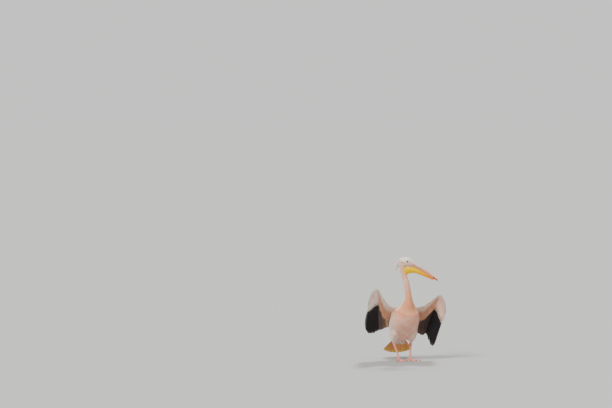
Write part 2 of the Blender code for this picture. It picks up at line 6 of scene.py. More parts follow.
import json
import logging
import math
from dataclasses import dataclass, field
from enum import Enum
from typing import Any, Callable, Iterable, Sequence

import bmesh
import bpy
import numpy as np
from bpy.types import Material, Mesh, Node, NodeSocket, NodeTree, Object, Scene
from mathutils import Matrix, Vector
from mathutils.bvhtree import BVHTree

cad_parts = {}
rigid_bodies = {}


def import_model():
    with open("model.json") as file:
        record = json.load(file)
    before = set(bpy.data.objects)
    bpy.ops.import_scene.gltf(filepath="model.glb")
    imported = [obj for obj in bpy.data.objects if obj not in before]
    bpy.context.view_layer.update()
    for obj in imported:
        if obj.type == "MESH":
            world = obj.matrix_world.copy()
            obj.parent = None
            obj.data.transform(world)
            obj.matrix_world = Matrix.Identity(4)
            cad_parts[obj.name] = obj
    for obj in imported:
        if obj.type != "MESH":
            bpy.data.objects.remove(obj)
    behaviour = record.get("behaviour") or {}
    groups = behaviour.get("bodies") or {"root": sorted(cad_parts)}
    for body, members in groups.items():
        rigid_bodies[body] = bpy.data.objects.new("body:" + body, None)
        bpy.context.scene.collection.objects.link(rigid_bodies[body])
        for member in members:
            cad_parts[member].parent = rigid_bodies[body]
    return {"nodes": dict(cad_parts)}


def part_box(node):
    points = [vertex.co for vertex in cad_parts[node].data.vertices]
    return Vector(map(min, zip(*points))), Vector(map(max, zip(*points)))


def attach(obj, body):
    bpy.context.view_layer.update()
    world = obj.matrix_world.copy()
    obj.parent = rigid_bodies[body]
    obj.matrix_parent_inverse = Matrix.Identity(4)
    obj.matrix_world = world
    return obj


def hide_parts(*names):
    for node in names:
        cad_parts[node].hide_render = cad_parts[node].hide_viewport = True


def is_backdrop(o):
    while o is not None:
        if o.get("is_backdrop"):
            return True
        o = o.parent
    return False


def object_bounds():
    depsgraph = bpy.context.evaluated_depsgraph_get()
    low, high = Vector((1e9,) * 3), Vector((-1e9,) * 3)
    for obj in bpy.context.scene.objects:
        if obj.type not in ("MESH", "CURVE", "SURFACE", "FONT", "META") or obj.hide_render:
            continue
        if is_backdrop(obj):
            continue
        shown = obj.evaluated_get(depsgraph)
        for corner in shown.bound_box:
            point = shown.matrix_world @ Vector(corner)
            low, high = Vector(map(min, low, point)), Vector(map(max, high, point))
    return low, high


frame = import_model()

Array = np.ndarray
Table = tuple[tuple[float, ...], ...]
Sheet = Callable[[Array, Array], tuple[Array, Array]]  # gives points and normals at places across and along
LOG = logging.getLogger("pelican")
SEED = 7
PATCH = 0.003  # side of a small feather's patch on its bake map
BARE = 0.04  # a mark under this grows no feathers
CROWD = 5.0  # points tried for each feather that fits
FEATHER_SIZES = (0.84, 1.14)
UNEVEN_LIFT, ROLL = 0.35, -0.6  # how far the lift varies, and how far a turned feather rolls
SOFTNESS = 0.55  # how far small feathers are shaded like the body under them, which makes the plumage look soft

# The bird's tables place it by the middle of its trunk, so the CAD trunk says how far the bird was moved.
TRUNK_LOW, TRUNK_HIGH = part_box("trunk")
LEFTWARDS, _, UPWARDS = np.eye(3)
ORIGIN = np.array([(TRUNK_LOW.x + TRUNK_HIGH.x) / 2, TRUNK_LOW.y + 0.198, 0.0])


# ---- colour, curves and nodes


def linear(code: str) -> tuple[float, float, float, float]:
    """Turns an sRGB hex colour into a linear one.

    Args:
        code: The colour as six hex digits, with or without a hash.

    Returns:
        Red, green, blue and alpha, linear.
    """
    digits = code.lstrip("#")
    parts = [int(digits[k : k + 2], 16) / 255.0 for k in (0, 2, 4)]
    red, green, blue = (c / 12.92 if c <= 0.04045 else ((c + 0.055) / 1.055) ** 2.4 for c in parts)
    return red, green, blue, 1.0


def feed(tree: NodeTree, node: Node, inputs: dict[Any, Any]) -> None:
    """Fills or links a node's inputs.

    Args:
        tree: The tree it is in.
        node: The node.
        inputs: A value, an output or another node for each input, by name or number. A node stands for its factor, or
            else for its first output in use.
    """
    for key, value in inputs.items():
        if isinstance(value, Node):
            ready = [socket for socket in value.outputs if socket.enabled]
            value = next((socket for socket in ready if socket.name == "Fac"), ready[0])
        if isinstance(value, NodeSocket):
            tree.links.new(value, node.inputs[key])
        else:
            node.inputs[key].default_value = value


def add(tree: NodeTree, kind: str, inputs: dict[Any, Any] | None = None, **settings: Any) -> Any:
    """Adds a node, with its settings, and feeds its inputs.

    Args:
        tree: The tree it goes into.
        kind: The node's type name; a shader node's goes without its first word.
        inputs: What each input gets.
        settings: The node's own properties.

    Returns:
        The node.
    """
    node = tree.nodes.new(kind if "Node" in kind else f"ShaderNode{kind}")
    for key, value in settings.items():
        setattr(node, key, value)
    feed(tree, node, inputs or {})
    return node


def through(points: Sequence[Sequence[float]], at: Any) -> Array:
    """Reads the smooth curve through points, whose first number is the place along it.

    Args:
        points: Rows of a place and the values there.
        at: Places to read, of any shape.

    Returns:
        The values, with one axis more than at.
    """
    table = np.asarray(points, float)
    place, value = table[:, 0], table[:, 1:]
    slope = np.gradient(value, place, axis=0)
    at = np.asarray(at, float)
    i = np.clip(np.searchsorted(place, at, side="right") - 1, 0, len(place) - 2)
    span = (place[i + 1] - place[i])[..., None]
    t = ((at - place[i])[..., None] / span).clip(0.0, 1.0)
    return (
        (2 * t**3 - 3 * t**2 + 1) * value[i]
        + (t**3 - 2 * t**2 + t) * span * slope[i]
        + (3 * t**2 - 2 * t**3) * value[i + 1]
        + (t**3 - t**2) * span * slope[i + 1]
    )


def unit(vectors: Array) -> Array:
    """Makes each vector one long."""
    return vectors / np.maximum(np.linalg.norm(vectors, axis=-1, keepdims=True), 1e-12)


def ease(value: Any, low: float, high: float) -> Array:
    """A smooth step from 0 at low to 1 at high."""
    t = np.clip((np.asarray(value, float) - low) / (high - low), 0.0, 1.0)
    return t * t * (3 - 2 * t)


def bell(value: Any, middle: float, width: float) -> Array:
    """A bell-shaped bump, 1 high in its middle."""
    return np.exp(-(((value - middle) / width) ** 2))


def circle(count: int) -> Array:
    """Angles evenly round a circle."""
    return np.linspace(0, 2 * math.pi, count, endpoint=False)


def spread(*values: Any) -> Sequence[Array]:
    """Brings numbers and arrays to one shape."""
    return np.broadcast_arrays(*(np.asarray(value, float) for value in values))


def joined(*values: Any) -> Array:
    """Puts numbers and arrays side by side on a last axis."""
    return np.stack(spread(*values), axis=-1)


def ripple(points: Array, scale: float, seed: int, octaves: int = 4) -> Array:
    """A smooth random field in space.

    Args:
        points: Places, in metres.
        scale: Size of its largest waves, in metres.
        seed: Which field.
        octaves: How many sizes of wave.

    Returns:
        A value from about -1 to 1 at each place.
    """
    draw = np.random.default_rng(seed)
    total = np.zeros(points.shape[:-1])
    weight = 0.0
    for octave in range(octaves):
        size = scale / 1.9**octave
        for _ in range(5):
            way = unit(draw.normal(size=3)) * 2 * math.pi / size * draw.uniform(0.7, 1.3)
            total += np.sin(points @ way + draw.uniform(0, 2 * math.pi)) / 1.7**octave
        weight += 2.2 / 1.7**octave
    return total / weight


# ---- meshes


def in_scene(name: str, data: Any) -> Object:
    """Makes an object of a mesh, a light or a camera, in the scene."""
    made = bpy.data.objects.new(name, data)
    bpy.context.scene.collection.objects.link(made)
    return made


def rows_of(items: Any, key: str, width: int = 3, kind: type = np.float32) -> Array:
    """Reads a property of all of a mesh's points, edges or triangles.

    Args:
        items: The mesh's collection of them.
        key: The property.
        width: How many numbers it has.
        kind: Their type.

    Returns:
        A row for each.
    """
    flat = np.empty(len(items) * width, kind)
    items.foreach_get(key, flat)
    return flat.reshape(-1, width)


def write_marks(mesh: Mesh, marks: dict[str, Array]) -> None:
    """Stores a number or a vector for each point of a mesh, by name."""
    for key, values in marks.items():
        kind, row = ("FLOAT_VECTOR", "vector") if values.ndim == 2 else ("FLOAT", "value")
        mesh.attributes.new(key, kind, "POINT").data.foreach_set(row, values.astype(np.float32).ravel())


def soup(meshes: Iterable[Mesh]) -> tuple[list[list[float]], list[list[int]], Array]:
    """Puts the triangles of several meshes together.

    Args:
        meshes: The meshes.

    Returns:
        The points, the triangles, and the number of the mesh that each triangle is of.
    """
    points, faces, owner, count = [], [], [], 0
    for number, mesh in enumerate(meshes):
        mesh.calc_loop_triangles()
        points.append(rows_of(mesh.vertices, "co"))
        faces.append(rows_of(mesh.loop_triangles, "vertices", kind=np.int32) + count)
        owner.append(np.full(len(faces[-1]), number))
        count += len(points[-1])
    return np.concatenate(points).tolist(), np.concatenate(faces).tolist(), np.concatenate(owner)


@dataclass
class Shape:
    """A mesh as it is put together: points, faces, and one UV place and a few values for each point."""

    points: list[Array] = field(default_factory=list)
    faces: list[Array] = field(default_factory=list)
    maps: dict[str, list[Array]] = field(default_factory=dict)
    values: dict[str, list[Array]] = field(default_factory=dict)
    count: int = 0

    def grid(
        self,
        points: Array,
        maps: dict[str, Array] | None = None,
        values: dict[str, Any] | None = None,
        around: bool = False,
        flip: bool = False,
        caps: bool = False,
    ) -> None:
        """Adds a sheet of points as rows and columns.

        Args:
            points: Rows by columns by three.
            maps: UV places for each point, by the name of the map.
            values: A number for each point, by name.
            around: Whether the last column joins the first.
            flip: Whether the faces look the other way.
            caps: Whether the first and last rows are closed with a face each.
        """
        rows, columns = points.shape[:2]
        index = np.arange(rows * columns).reshape(rows, columns) + self.count
        right = np.roll(index, -1, axis=1) if around else index[:, 1:]
        left = index if around else index[:, :-1]
        quads = np.stack([left[:-1], right[:-1], right[1:], left[1:]], axis=-1).reshape(-1, 4)
        self.faces.append(quads[:, ::-1] if flip else quads)
        if caps:
            for ring in (index[0][::-1], index[-1]):
                self.faces.append((ring[::-1] if flip else ring)[None, :])
        self.points.append(points.reshape(-1, 3))
        for name, given in (maps or {}).items():
            self.maps.setdefault(name, []).append(given.reshape(-1, 2))
        for name, given in (values or {}).items():
            self.values.setdefault(name, []).append(np.broadcast_to(given, (rows, columns)).reshape(-1))
        self.count += rows * columns

    def rim(self, upper: Array, lower: Array) -> None:
        """Joins two open outlines, each a loop of point numbers, with a band of faces."""
        after_upper, after_lower = np.roll(upper, -1), np.roll(lower, -1)
        self.faces.append(np.stack([upper, lower, after_lower, after_upper], axis=-1))

    def made(self, name: str, material: Material | None = None) -> Object:
        """Makes the object.

        Args:
            name: Its name.
            material: Its only material.

        Returns:
            The object, at the origin, in the scene.
        """
        points = np.concatenate(self.points)
        faces = [tuple(int(k) for k in face) for group in self.faces for face in group]
        mesh = bpy.data.meshes.new(name)
        mesh.from_pydata(points.tolist(), [], faces)
        corner = rows_of(mesh.loops, "vertex_index", 1, np.int32).ravel()
        for key, parts in self.maps.items():
            layer = mesh.uv_layers.new(name=key)
            layer.data.foreach_set("uv", np.concatenate(parts)[corner].astype(np.float32).ravel())
        write_marks(mesh, {key: np.concatenate(parts) for key, parts in self.values.items()})
        mesh.shade_smooth()
        mesh.validate()
        if material is not None:
            mesh.materials.append(material)
        return in_scene(name, mesh)


def outward(made: Object) -> Object:
    """Points a closed mesh's faces outwards."""
    cage = bmesh.new()
    cage.from_mesh(made.data)
    bmesh.ops.recalc_face_normals(cage, faces=cage.faces)
    cage.to_mesh(made.data)
    cage.free()
    return made


def evaluated(made: Object, name: str) -> Mesh:
    """The mesh that an object's modifiers give, as a plain mesh."""
    bpy.context.view_layer.update()
    graph = bpy.context.evaluated_depsgraph_get()
    mesh = bpy.data.meshes.new_from_object(
        made.evaluated_get(graph), preserve_all_data_layers=True, depsgraph=graph
    )
    mesh.name = name
    return mesh


def place(made: Object, slot: str, *nodes: str) -> None:
    """Gives a finished piece to the frame.

    Args:
        made: The piece.
        slot: The record's material slot of its finish; not used.
        nodes: The CAD nodes that it stands for.
    """
    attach(made, "root")
    if nodes:
        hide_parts(*nodes)
    LOG.info("%s: %d faces", made.name, len(made.data.polygons))


# ---- where things are


class Side(Enum):
    """The bird's two sides, with the way outwards along X."""

    LEFT = 1.0
    RIGHT = -1.0

    @property
    def word(self) -> str:
        """The side as the CAD nodes' names have it."""
        return self.name.lower()


@dataclass(frozen=True)
class HeadFrame:
    """The head's own axes: ahead along the bill, to its left, and up."""

    middle: tuple[float, float] = (0.0, -0.09)
    yaw: float = math.radians(65.0)

    @property
    def ahead(self) -> Array:
        """The way the bill points, in plan."""
        return np.array([math.sin(self.yaw), -math.cos(self.yaw), 0.0])

    @property
    def left(self) -> Array:
        """The way to the head's left."""
        return np.array([math.cos(self.yaw), math.sin(self.yaw), 0.0])

    def world(self, forward: Any, aside: Any, height: Any) -> Array:
        """The place at distances ahead, to the left and up."""
        forward, aside, height = spread(forward, aside, height)
        base = ORIGIN + np.array([*self.middle, 0.0])
        return base + forward[..., None] * self.ahead + aside[..., None] * self.left + height[..., None] * UPWARDS

    def local(self, points: Array) -> tuple[Array, Array, Array]:
        """Distances ahead, to the left and up of each point."""
        moved = points - ORIGIN - np.array([*self.middle, 0.0])
        return moved @ self.ahead, moved @ self.left, points[..., 2]


HEAD = HeadFrame()


@dataclass
class Wing:
    """One wing as a curved surface: a line starts at the front edge, crosses the bone and ends at a feather's tip."""

    side: Side
    front: Table
    bone: Table
    tip: Table
    covered: float = 0.30
    camber: tuple[float, float, float] = (0.0077, 0.0176, 0.0099)
    thickness: Table = (
        (0.0, 0.050), (0.15, 0.036), (0.35, 0.030), (0.55, 0.022), (0.75, 0.020), (1.0, 0.014),
    )
    profile: Table = (
        (-1.0, 0.30), (-0.72, 0.85), (-0.25, 1.00), (0.08, 0.62), (0.30, 0.20), (0.55, 0.06), (1.0, 0.02),
    )

    def point(self, share: Any, reach: Any) -> Array:
        """Points of the wing.

        Args:
            share: How far along the wing, from 0 at the shoulder to 1 at the last feather.
            reach: -1 at the front edge, 0 at the bone, 1 at a feather's tip.

        Returns:
            The points, with one axis more.
        """
        share, reach = spread(share, reach)
        front, bone, tip = (through(line, share) for line in (self.front, self.bone, self.tip))
        edge = bone + (tip - bone) * self.covered
        t = ((reach + 1.0) / (self.covered + 1.0))[..., None]
        arm = (1 - t) ** 2 * front + 2 * t * (1 - t) * bone + t**2 * edge
        past = np.clip((reach - self.covered) / (1.0 - self.covered), 0.0, 1.1)
        bend = np.sin(math.pi * past)[..., None] * np.array(self.camber)
        feather = bone + (tip - bone) * reach[..., None] + bend
        return ORIGIN + np.where((reach < self.covered)[..., None], arm, feather) * np.array([self.side.value, 1, 1])

    def frame(self, share: Any, reach: Any) -> tuple[Array, Array, Array]:
        """The place, the way towards the tips and the upper side's normal."""
        step = 0.004
        spot = self.point(share, reach)
        along = self.point(share, np.asarray(reach) + step) - self.point(share, np.asarray(reach) - step)
        across = self.point(np.asarray(share) + step, reach) - self.point(np.asarray(share) - step, reach)
        return spot, unit(along), unit(np.cross(across, along)) * self.side.value

    def half_depth(self, share: Any, reach: Any) -> Array:
        """Half the arm's thickness there."""
        share, reach = spread(share, reach)
        swell = np.interp(reach, *zip(*self.profile))
        return through(self.thickness, share)[..., 0] * swell / 2


WINGS = {
    Side.LEFT: Wing(
        Side.LEFT,
        front=(
            (0.00, 0.050, -0.055, 0.590), (0.15, 0.178, -0.095, 0.617), (0.35, 0.278, -0.112, 0.676),
            (0.50, 0.360, -0.121, 0.742), (0.56, 0.388, -0.121, 0.752), (0.66, 0.428, -0.112, 0.712),
            (0.80, 0.456, -0.096, 0.640), (1.00, 0.470, -0.074, 0.555),
        ),
        bone=(
            (0.00, 0.055, 0.050, 0.568), (0.15, 0.225, 0.100, 0.520), (0.35, 0.300, 0.005, 0.620),
            (0.55, 0.382, -0.098, 0.722), (0.66, 0.414, -0.098, 0.690), (0.80, 0.440, -0.088, 0.630),
            (1.00, 0.458, -0.068, 0.548),
        ),
        tip=(
            (0.00, 0.062, 0.250, 0.362), (0.15, 0.214, 0.260, 0.282), (0.35, 0.258, 0.185, 0.265),
            (0.55, 0.272, 0.120, 0.285), (0.75, 0.296, 0.070, 0.215), (0.90, 0.326, 0.040, 0.152),
            (1.00, 0.358, 0.030, 0.165),
        ),
    ),
    Side.RIGHT: Wing(
        Side.RIGHT,
        front=(
            (0.00, 0.050, -0.050, 0.592), (0.15, 0.176, -0.072, 0.622), (0.35, 0.262, -0.098, 0.706),
            (0.48, 0.308, -0.122, 0.782), (0.56, 0.334, -0.134, 0.822), (0.66, 0.376, -0.130, 0.822),
            (0.80, 0.414, -0.108, 0.766), (1.00, 0.438, -0.074, 0.680),
        ),
        bone=(
            (0.00, 0.055, 0.050, 0.570), (0.15, 0.205, 0.078, 0.535), (0.35, 0.268, -0.004, 0.640),
            (0.55, 0.334, -0.106, 0.792), (0.66, 0.368, -0.108, 0.786), (0.80, 0.398, -0.092, 0.742),
            (1.00, 0.424, -0.064, 0.672),
        ),
        tip=(
            (0.00, 0.062, 0.250, 0.365), (0.15, 0.152, 0.270, 0.350), (0.35, 0.206, 0.225, 0.335),
            (0.55, 0.262, 0.180, 0.325), (0.75, 0.330, 0.150, 0.300), (0.90, 0.398, 0.130, 0.308),
            (1.00, 0.440, 0.110, 0.372),
        ),
    ),
}


# ---- finishes


@dataclass(frozen=True)
class Finish:
    """A material made of its own nodes."""

    name: str

    def material(self) -> Material:
        """Builds the finish.

        Returns:
            The material.
        """
        made = bpy.data.materials.new(self.name)
        made.use_nodes = True
        tree = made.node_tree
        feed(tree, tree.nodes["Principled BSDF"], self.inputs(tree))
        return made

    def inputs(self, tree: NodeTree) -> dict[str, Any]:
        """Adds the finish's nodes.

        Args:
            tree: The material's tree.

        Returns:
            What each input of the shader gets.
        """
        raise NotImplementedError


def barb_lines(tree: NodeTree, slope: float, count: float) -> tuple[Any, Any, Any]:
    """Draws slanting barbs over a feather's map.

    Args:
        tree: The material's tree.
        slope: How far a barb slants, as a share of the length over the whole width.
        count: Barbs along the feather.

    Returns:
        The place along the feather, the distance from the shaft and the barbs' wave.
    """
    parts = add(tree, "SeparateXYZ", {0: add(tree, "UVMap", uv_map="Vane")})
    aside = add(tree, "Math", {0: parts.outputs[0], 1: 0.5}, operation="SUBTRACT")
    aside = add(tree, "Math", {0: aside}, operation="ABSOLUTE")
    slant = add(tree, "Math", {0: aside, 1: slope}, operation="MULTIPLY")
    line = add(tree, "Math", {0: parts.outputs[1], 1: slant}, operation="SUBTRACT")
    line = add(tree, "Math", {0: line, 1: count * 2 * math.pi}, operation="MULTIPLY")
    return parts.outputs[1], aside, add(tree, "Math", {0: line}, operation="SINE")


@dataclass(frozen=True)
class PlumageFinish(Finish):
    """Small body feathers: keratin barbs that hook into a soft matt vane.

    The eye sees warm white with a peach blush, partly a tint from the bird's oil and partly painted shade on the
    front and under the wings, a fine herringbone of barbs, and a slightly different tone on each feather.
    """

    pale: str = "FBF3EC"
    blush: str = "EEA680"
    tan: str = "C08C66"
    barbs: float = 22.0  # barbs drawn along one feather, coarser than real so that they show
    relief: float = 0.25

    def inputs(self, tree: NodeTree) -> dict[str, Any]:
        """Reads the feathers' own map and marks."""
        along, _, barb = barb_lines(tree, 0.55, self.barbs)
        blush, tint, tan = (add(tree, "Attribute", attribute_name=mark) for mark in ("blush", "tint", "tan"))
        shift = add(tree, "MapRange", {0: tint, 3: -0.16, 4: 0.16})
        amount = add(tree, "Math", {0: blush, 1: shift}, operation="ADD", use_clamp=True)
        colour = linear(self.pale)
        for part, code in ((amount, self.blush), (tan, self.tan)):
            colour = add(tree, "Mix", {0: part, 6: colour, 7: linear(code)}, data_type="RGBA")
        root = add(tree, "MapRange", {0: along, 1: 0.0, 2: 0.55, 3: 0.82, 4: 1.0})
        dark = add(tree, "MapRange", {0: barb, 1: -1.0, 2: 1.0, 3: 0.95, 4: 1.0})
        tone = add(tree, "MapRange", {0: tint, 3: 0.93, 4: 1.0})
        value = add(tree, "Math", {0: root, 1: dark}, operation="MULTIPLY")
        value = add(tree, "Math", {0: value, 1: tone}, operation="MULTIPLY")
        return {
            "Base Color": add(tree, "HueSaturation", {"Value": value, "Color": colour}),
            "Normal": add(tree, "Bump", {"Strength": self.relief, "Distance": 0.0006, "Height": barb}),
            "Roughness": 0.78, "Specular IOR Level": 0.25, "Sheen Weight": 0.25, "Sheen Roughness": 0.5,
        }


@dataclass(frozen=True)
class FlightFinish(Finish):
    """A long vane with a shaft: close-knit barbs with a satin sheen.

    The eye sees one even colour with a paler edge, fine slanting barb lines and a smooth, glossier shaft. The warm
    colour, where a feather takes much of it, is painted light: backlit glow on the inner flight feathers and painted
    shade under the wing and tail.
    """

    vane: str
    edge: str
    shaft: str
    root: str
    tip: str
    # warm is the colour of painted light: a backlit glow, and painted shade
    warm: str = "C98A62"
    edge_width: float = 0.12
    edge_amount: float = 0.7
    barbs: float = 130.0  # barb lines along one feather, drawn coarser than real so that they show
    roughness: float = 0.5

    def inputs(self, tree: NodeTree) -> dict[str, Any]:
        """Reads the feathers' own map and marks."""
        along, aside, barb = barb_lines(tree, 0.16, self.barbs)
        # warmth says how much painted light, as backlit glow or shade, each feather takes
        tint, warmth = (add(tree, "Attribute", attribute_name=mark) for mark in ("tint", "warmth"))
        cloud = {0: add(tree, "TexCoord").outputs["Object"], "Scale": 45.0, "Detail": 4.0}  # wear in 22 mm patches
        rim = {0: aside, 1: 0.5 - self.edge_width, 2: 0.5, 3: 0.0, 4: self.edge_amount}
        rim = {0: add(tree, "MapRange", rim), 1: add(tree, "TexNoise", cloud)}
        shaft = add(tree, "MapRange", {0: aside, 1: 0.018, 2: 0.034, 3: 1.0, 4: 0.0})
        colour = linear(self.vane)
        for amount, code in (
            (add(tree, "MapRange", {0: along, 1: 0.05, 2: 0.55, 3: 1.0, 4: 0.0}), self.root),
            (add(tree, "MapRange", {0: along, 1: 0.72, 2: 1.0, 3: 0.0, 4: 1.0}), self.tip),
            (warmth, self.warm),
            (add(tree, "Math", rim, operation="MULTIPLY"), self.edge),
            (shaft, self.shaft),
        ):
            colour = add(tree, "Mix", {0: amount, 6: colour, 7: linear(code)}, data_type="RGBA")
        dark = add(tree, "MapRange", {0: barb, 1: -1.0, 2: 1.0, 3: 0.93, 4: 1.0})
        tone = add(tree, "MapRange", {0: tint, 3: 0.82, 4: 1.08})
        value = add(tree, "Math", {0: tone, 1: dark}, operation="MULTIPLY")
        return {
            "Base Color": add(tree, "HueSaturation", {"Value": value, "Color": colour}),
            "Normal": add(tree, "Bump", {"Strength": 0.2, "Distance": 0.0005, "Height": barb}),
            "Roughness": add(tree, "MapRange", {0: shaft, 3: self.roughness, 4: 0.3}),
            "Sheen Weight": 0.15,
        }


# Each has the colours of the vane, its edge, the shaft, the root, the tip and, where it differs, the warm colour of
# painted light: backlit glow and painted shade.
LONG_FEATHERS = (
    FlightFinish("vane_of_black_primaries", "1C161D", "3A3038", "D8C9B8", "241C24", "171218"),
    FlightFinish(
        "vane_of_grey_secondaries", "4C4347", "9A8F8B", "5A4E4C", "5A4E50", "433A3D", "B39482", edge_amount=1.2
    ),
    # The right wing's paler, warmer copy of the grey secondaries: painted light, as if lit from behind.
    FlightFinish(
        "vane_of_pale_grey_secondaries", "675C5B", "A79D98", "74675F", "94786A", "756B69", "BF9678", edge_amount=1.2
    ),
    FlightFinish(
        "vane_of_white_coverts", "F4E9DF", "FBF6EF", "E2D0BF", "EFD6C0", "FAF1E6", "D59C80", edge_amount=0.4
    ),
    # The tertials' peach-orange colours are painted light: the glow of light through backlit feathers.
    FlightFinish(
        "vane_of_stained_tertials", "EFD0B0", "FAEEDD", "D2A273", "E8A876", "F6E2C8", "EBA066", edge_amount=0.6
    ),
    # The tail's orange and yellow are painted light: the glow of light shining through the fan.
    FlightFinish("vane_of_blushed_tail_feathers", "F8B070", "FCE3A4", "E2954C", "F0B490", "FCD75E", edge_amount=1.1),
)


@dataclass(frozen=True)
class SkinFinish(Finish):
    """Living skin: matt and finely creased, with the coat's own markings where feathers grow over it."""

    name: str = "bare_and_feathered_skin"
    pale: str = "D9CFC6"
    blush: str = "D6A27C"
    face: str = "E6D2CA"
    flush: str = "DDB3A8"
    lid: str = "4A302C"

    def inputs(self, tree: NodeTree) -> dict[str, Any]:
        """Reads the skin's marks."""
        blush, face, lid = (add(tree, "Attribute", attribute_name=mark) for mark in ("blush", "face", "lid"))
        spot = add(tree, "TexCoord").outputs["Object"]
        # Flushed patches are 8 mm across, creases 1.6 mm apart and pimples 1.1 mm.
        cloud = add(tree, "TexNoise", {0: spot, "Scale": 120.0, "Detail": 5.0})
        crease = add(tree, "TexVoronoi", {0: spot, "Scale": 620.0}, feature="DISTANCE_TO_EDGE")
        pimple = add(tree, "TexNoise", {0: spot, "Scale": 900.0, "Detail": 3.0})
        patch = add(tree, "MapRange", {0: cloud, 1: 0.35, 2: 0.7})
        bare = {0: patch, 6: linear(self.face), 7: linear(self.flush)}
        colour = linear(self.pale)
        for amount, other in (
            (blush, linear(self.blush)), (face, add(tree, "Mix", bare, data_type="RGBA")), (lid, linear(self.lid)),
        ):
            colour = add(tree, "Mix", {0: amount, 6: colour, 7: other}, data_type="RGBA")
        folds = add(tree, "MapRange", {0: crease, 1: 0.0, 2: 0.12})
        height = add(tree, "Math", {0: folds, 1: pimple}, operation="ADD")
        return {
            "Base Color": colour,
            "Normal": add(tree, "Bump", {"Strength": 0.45, "Distance": 0.0005, "Height": height}),
            "Roughness": 0.62, "Subsurface Weight": 0.15, "Subsurface Radius": (0.6, 0.25, 0.15),
            "Subsurface Scale": 0.003,
        }


@dataclass(frozen=True)
class KeratinFinish(Finish):
    """The horny sheath of bill or claw: smooth grown keratin.

    The eye sees a lengthwise grain, a cooler ridge, flushed edges where blood shows through, and a dull gloss.
    """

    base: str
    ridge: str
    edge: str
    tip: str
    edge_from: float = 0.50
    grain: tuple[float, float] = (64.0, 6.0)  # streaks round and along, 2 mm wide, coarser than real so that they show
    roughness: tuple[float, float] = (0.34, 0.52)
    tip_from: float = 0.40

    def inputs(self, tree: NodeTree) -> dict[str, Any]:
        """Reads the form's own map."""
        form = add(tree, "UVMap", uv_map="Form")
        parts = add(tree, "SeparateXYZ", {0: form})
        aside = add(tree, "Math", {0: parts.outputs[0], 1: 0.5}, operation="SUBTRACT")
        aside = add(tree, "Math", {0: aside}, operation="ABSOLUTE")
        aside = add(tree, "Math", {0: aside, 1: 2.0}, operation="MULTIPLY")
        stretched = add(tree, "VectorMath", {0: form, 1: (*self.grain, 1.0)}, operation="MULTIPLY")
        grain = add(tree, "TexNoise", {0: stretched, "Scale": 1.0, "Detail": 6.0})
        spot = add(tree, "TexCoord").outputs["Object"]
        cloud = add(tree, "TexNoise", {0: spot, "Scale": 38.0, "Detail": 5.0})  # blotches of 26 mm
        ridge = add(tree, "MapRange", {0: aside, 1: 0.04, 2: 0.30, 3: 0.90, 4: 0.0})
        edge = add(tree, "MapRange", {0: aside, 1: self.edge_from, 2: self.edge_from + 0.14})
        edge = add(tree, "Math", {0: edge, 1: cloud}, operation="MULTIPLY")
        edge = add(tree, "Math", {0: edge, 1: 1.6}, operation="MULTIPLY", use_clamp=True)
        far = add(tree, "MapRange", {0: parts.outputs[1], 1: self.tip_from, 2: 1.0, 3: 0.0, 4: 0.85})
        colour = linear(self.base)
        for amount, code in ((ridge, self.ridge), (edge, self.edge), (far, self.tip)):
            colour = add(tree, "Mix", {0: amount, 6: colour, 7: linear(code)}, data_type="RGBA")
        value = add(tree, "MapRange", {0: grain, 1: 0.28, 2: 0.72, 3: 0.76, 4: 1.08})
        rough = {0: grain, 1: 0.3, 2: 0.7, 3: self.roughness[0], 4: self.roughness[1]}
        return {
            "Base Color": add(tree, "HueSaturation", {"Value": value, "Color": colour}),
            "Normal": add(tree, "Bump", {"Strength": 0.55, "Distance": 0.0006, "Height": grain}),
            "Roughness": add(tree, "MapRange", rough),
            "IOR": 1.54,
        }


@dataclass(frozen=True)
class PouchFinish(Finish):
    """The pouch's thin bare skin: elastic, finely wrinkled and full of small veins.

    The eye sees saturated yellow that warms to orange towards the tip, fine lengthwise folds, and darker veins.
    """

    name: str = "elastic_yellow_pouch_skin"
    yellow: str = "F4C811"
    orange: str = "F28A16"
    vein: str = "DB8A12"
    throat: str = "DCC232"

    def inputs(self, tree: NodeTree) -> dict[str, Any]:
        """Reads the form's own map."""
        form = add(tree, "UVMap", uv_map="Form")
        along = add(tree, "SeparateXYZ", {0: form}).outputs[1]
        spot = add(tree, "TexCoord").outputs["Object"]
        # Veins are 12 mm apart and bend every 17 mm; wrinkles run along the pouch 1.5 mm apart, over 1.4 mm creases.
        bent = add(tree, "TexNoise", {0: spot, "Scale": 60.0, "Detail": 3.0})
        moved = {0: bent.outputs[1], 1: (0.022, 0.022, 0.022), 2: spot}
        web = {0: add(tree, "VectorMath", moved, operation="MULTIPLY_ADD"), "Scale": 85.0}
        web = add(tree, "TexVoronoi", web, feature="DISTANCE_TO_EDGE")
        stretched = add(tree, "VectorMath", {0: form, 1: (120.0, 16.0, 1.0)}, operation="MULTIPLY")
        wrinkle = add(tree, "TexNoise", {0: stretched, "Scale": 1.0, "Detail": 5.0})
        fine = add(tree, "TexNoise", {0: spot, "Scale": 700.0, "Detail": 2.0})
        colour = linear(self.yellow)
        for amount, code in (
            ({0: along, 1: 0.45, 2: 1.0, 3: 0.0, 4: 0.95}, self.orange),
            ({0: along, 1: 0.02, 2: 0.20, 3: 0.8, 4: 0.0}, self.throat),
            ({0: web, 1: 0.0, 2: 0.05, 3: 0.20, 4: 0.0}, self.vein),
        ):
            mixed = {0: add(tree, "MapRange", amount), 6: colour, 7: linear(code)}
            colour = add(tree, "Mix", mixed, data_type="RGBA")
        value = add(tree, "MapRange", {0: wrinkle, 1: 0.3, 2: 0.7, 3: 0.86, 4: 1.05})
        height = add(tree, "Math", {0: fine, 1: 0.25, 2: wrinkle}, operation="MULTIPLY_ADD")
        return {
            "Base Color": add(tree, "HueSaturation", {"Value": value, "Color": colour}),
            "Normal": add(tree, "Bump", {"Strength": 0.5, "Distance": 0.0007, "Height": height}),
            "Roughness": 0.46, "Subsurface Weight": 0.2, "Subsurface Radius": (0.9, 0.45, 0.1),
            "Subsurface Scale": 0.004,
        }


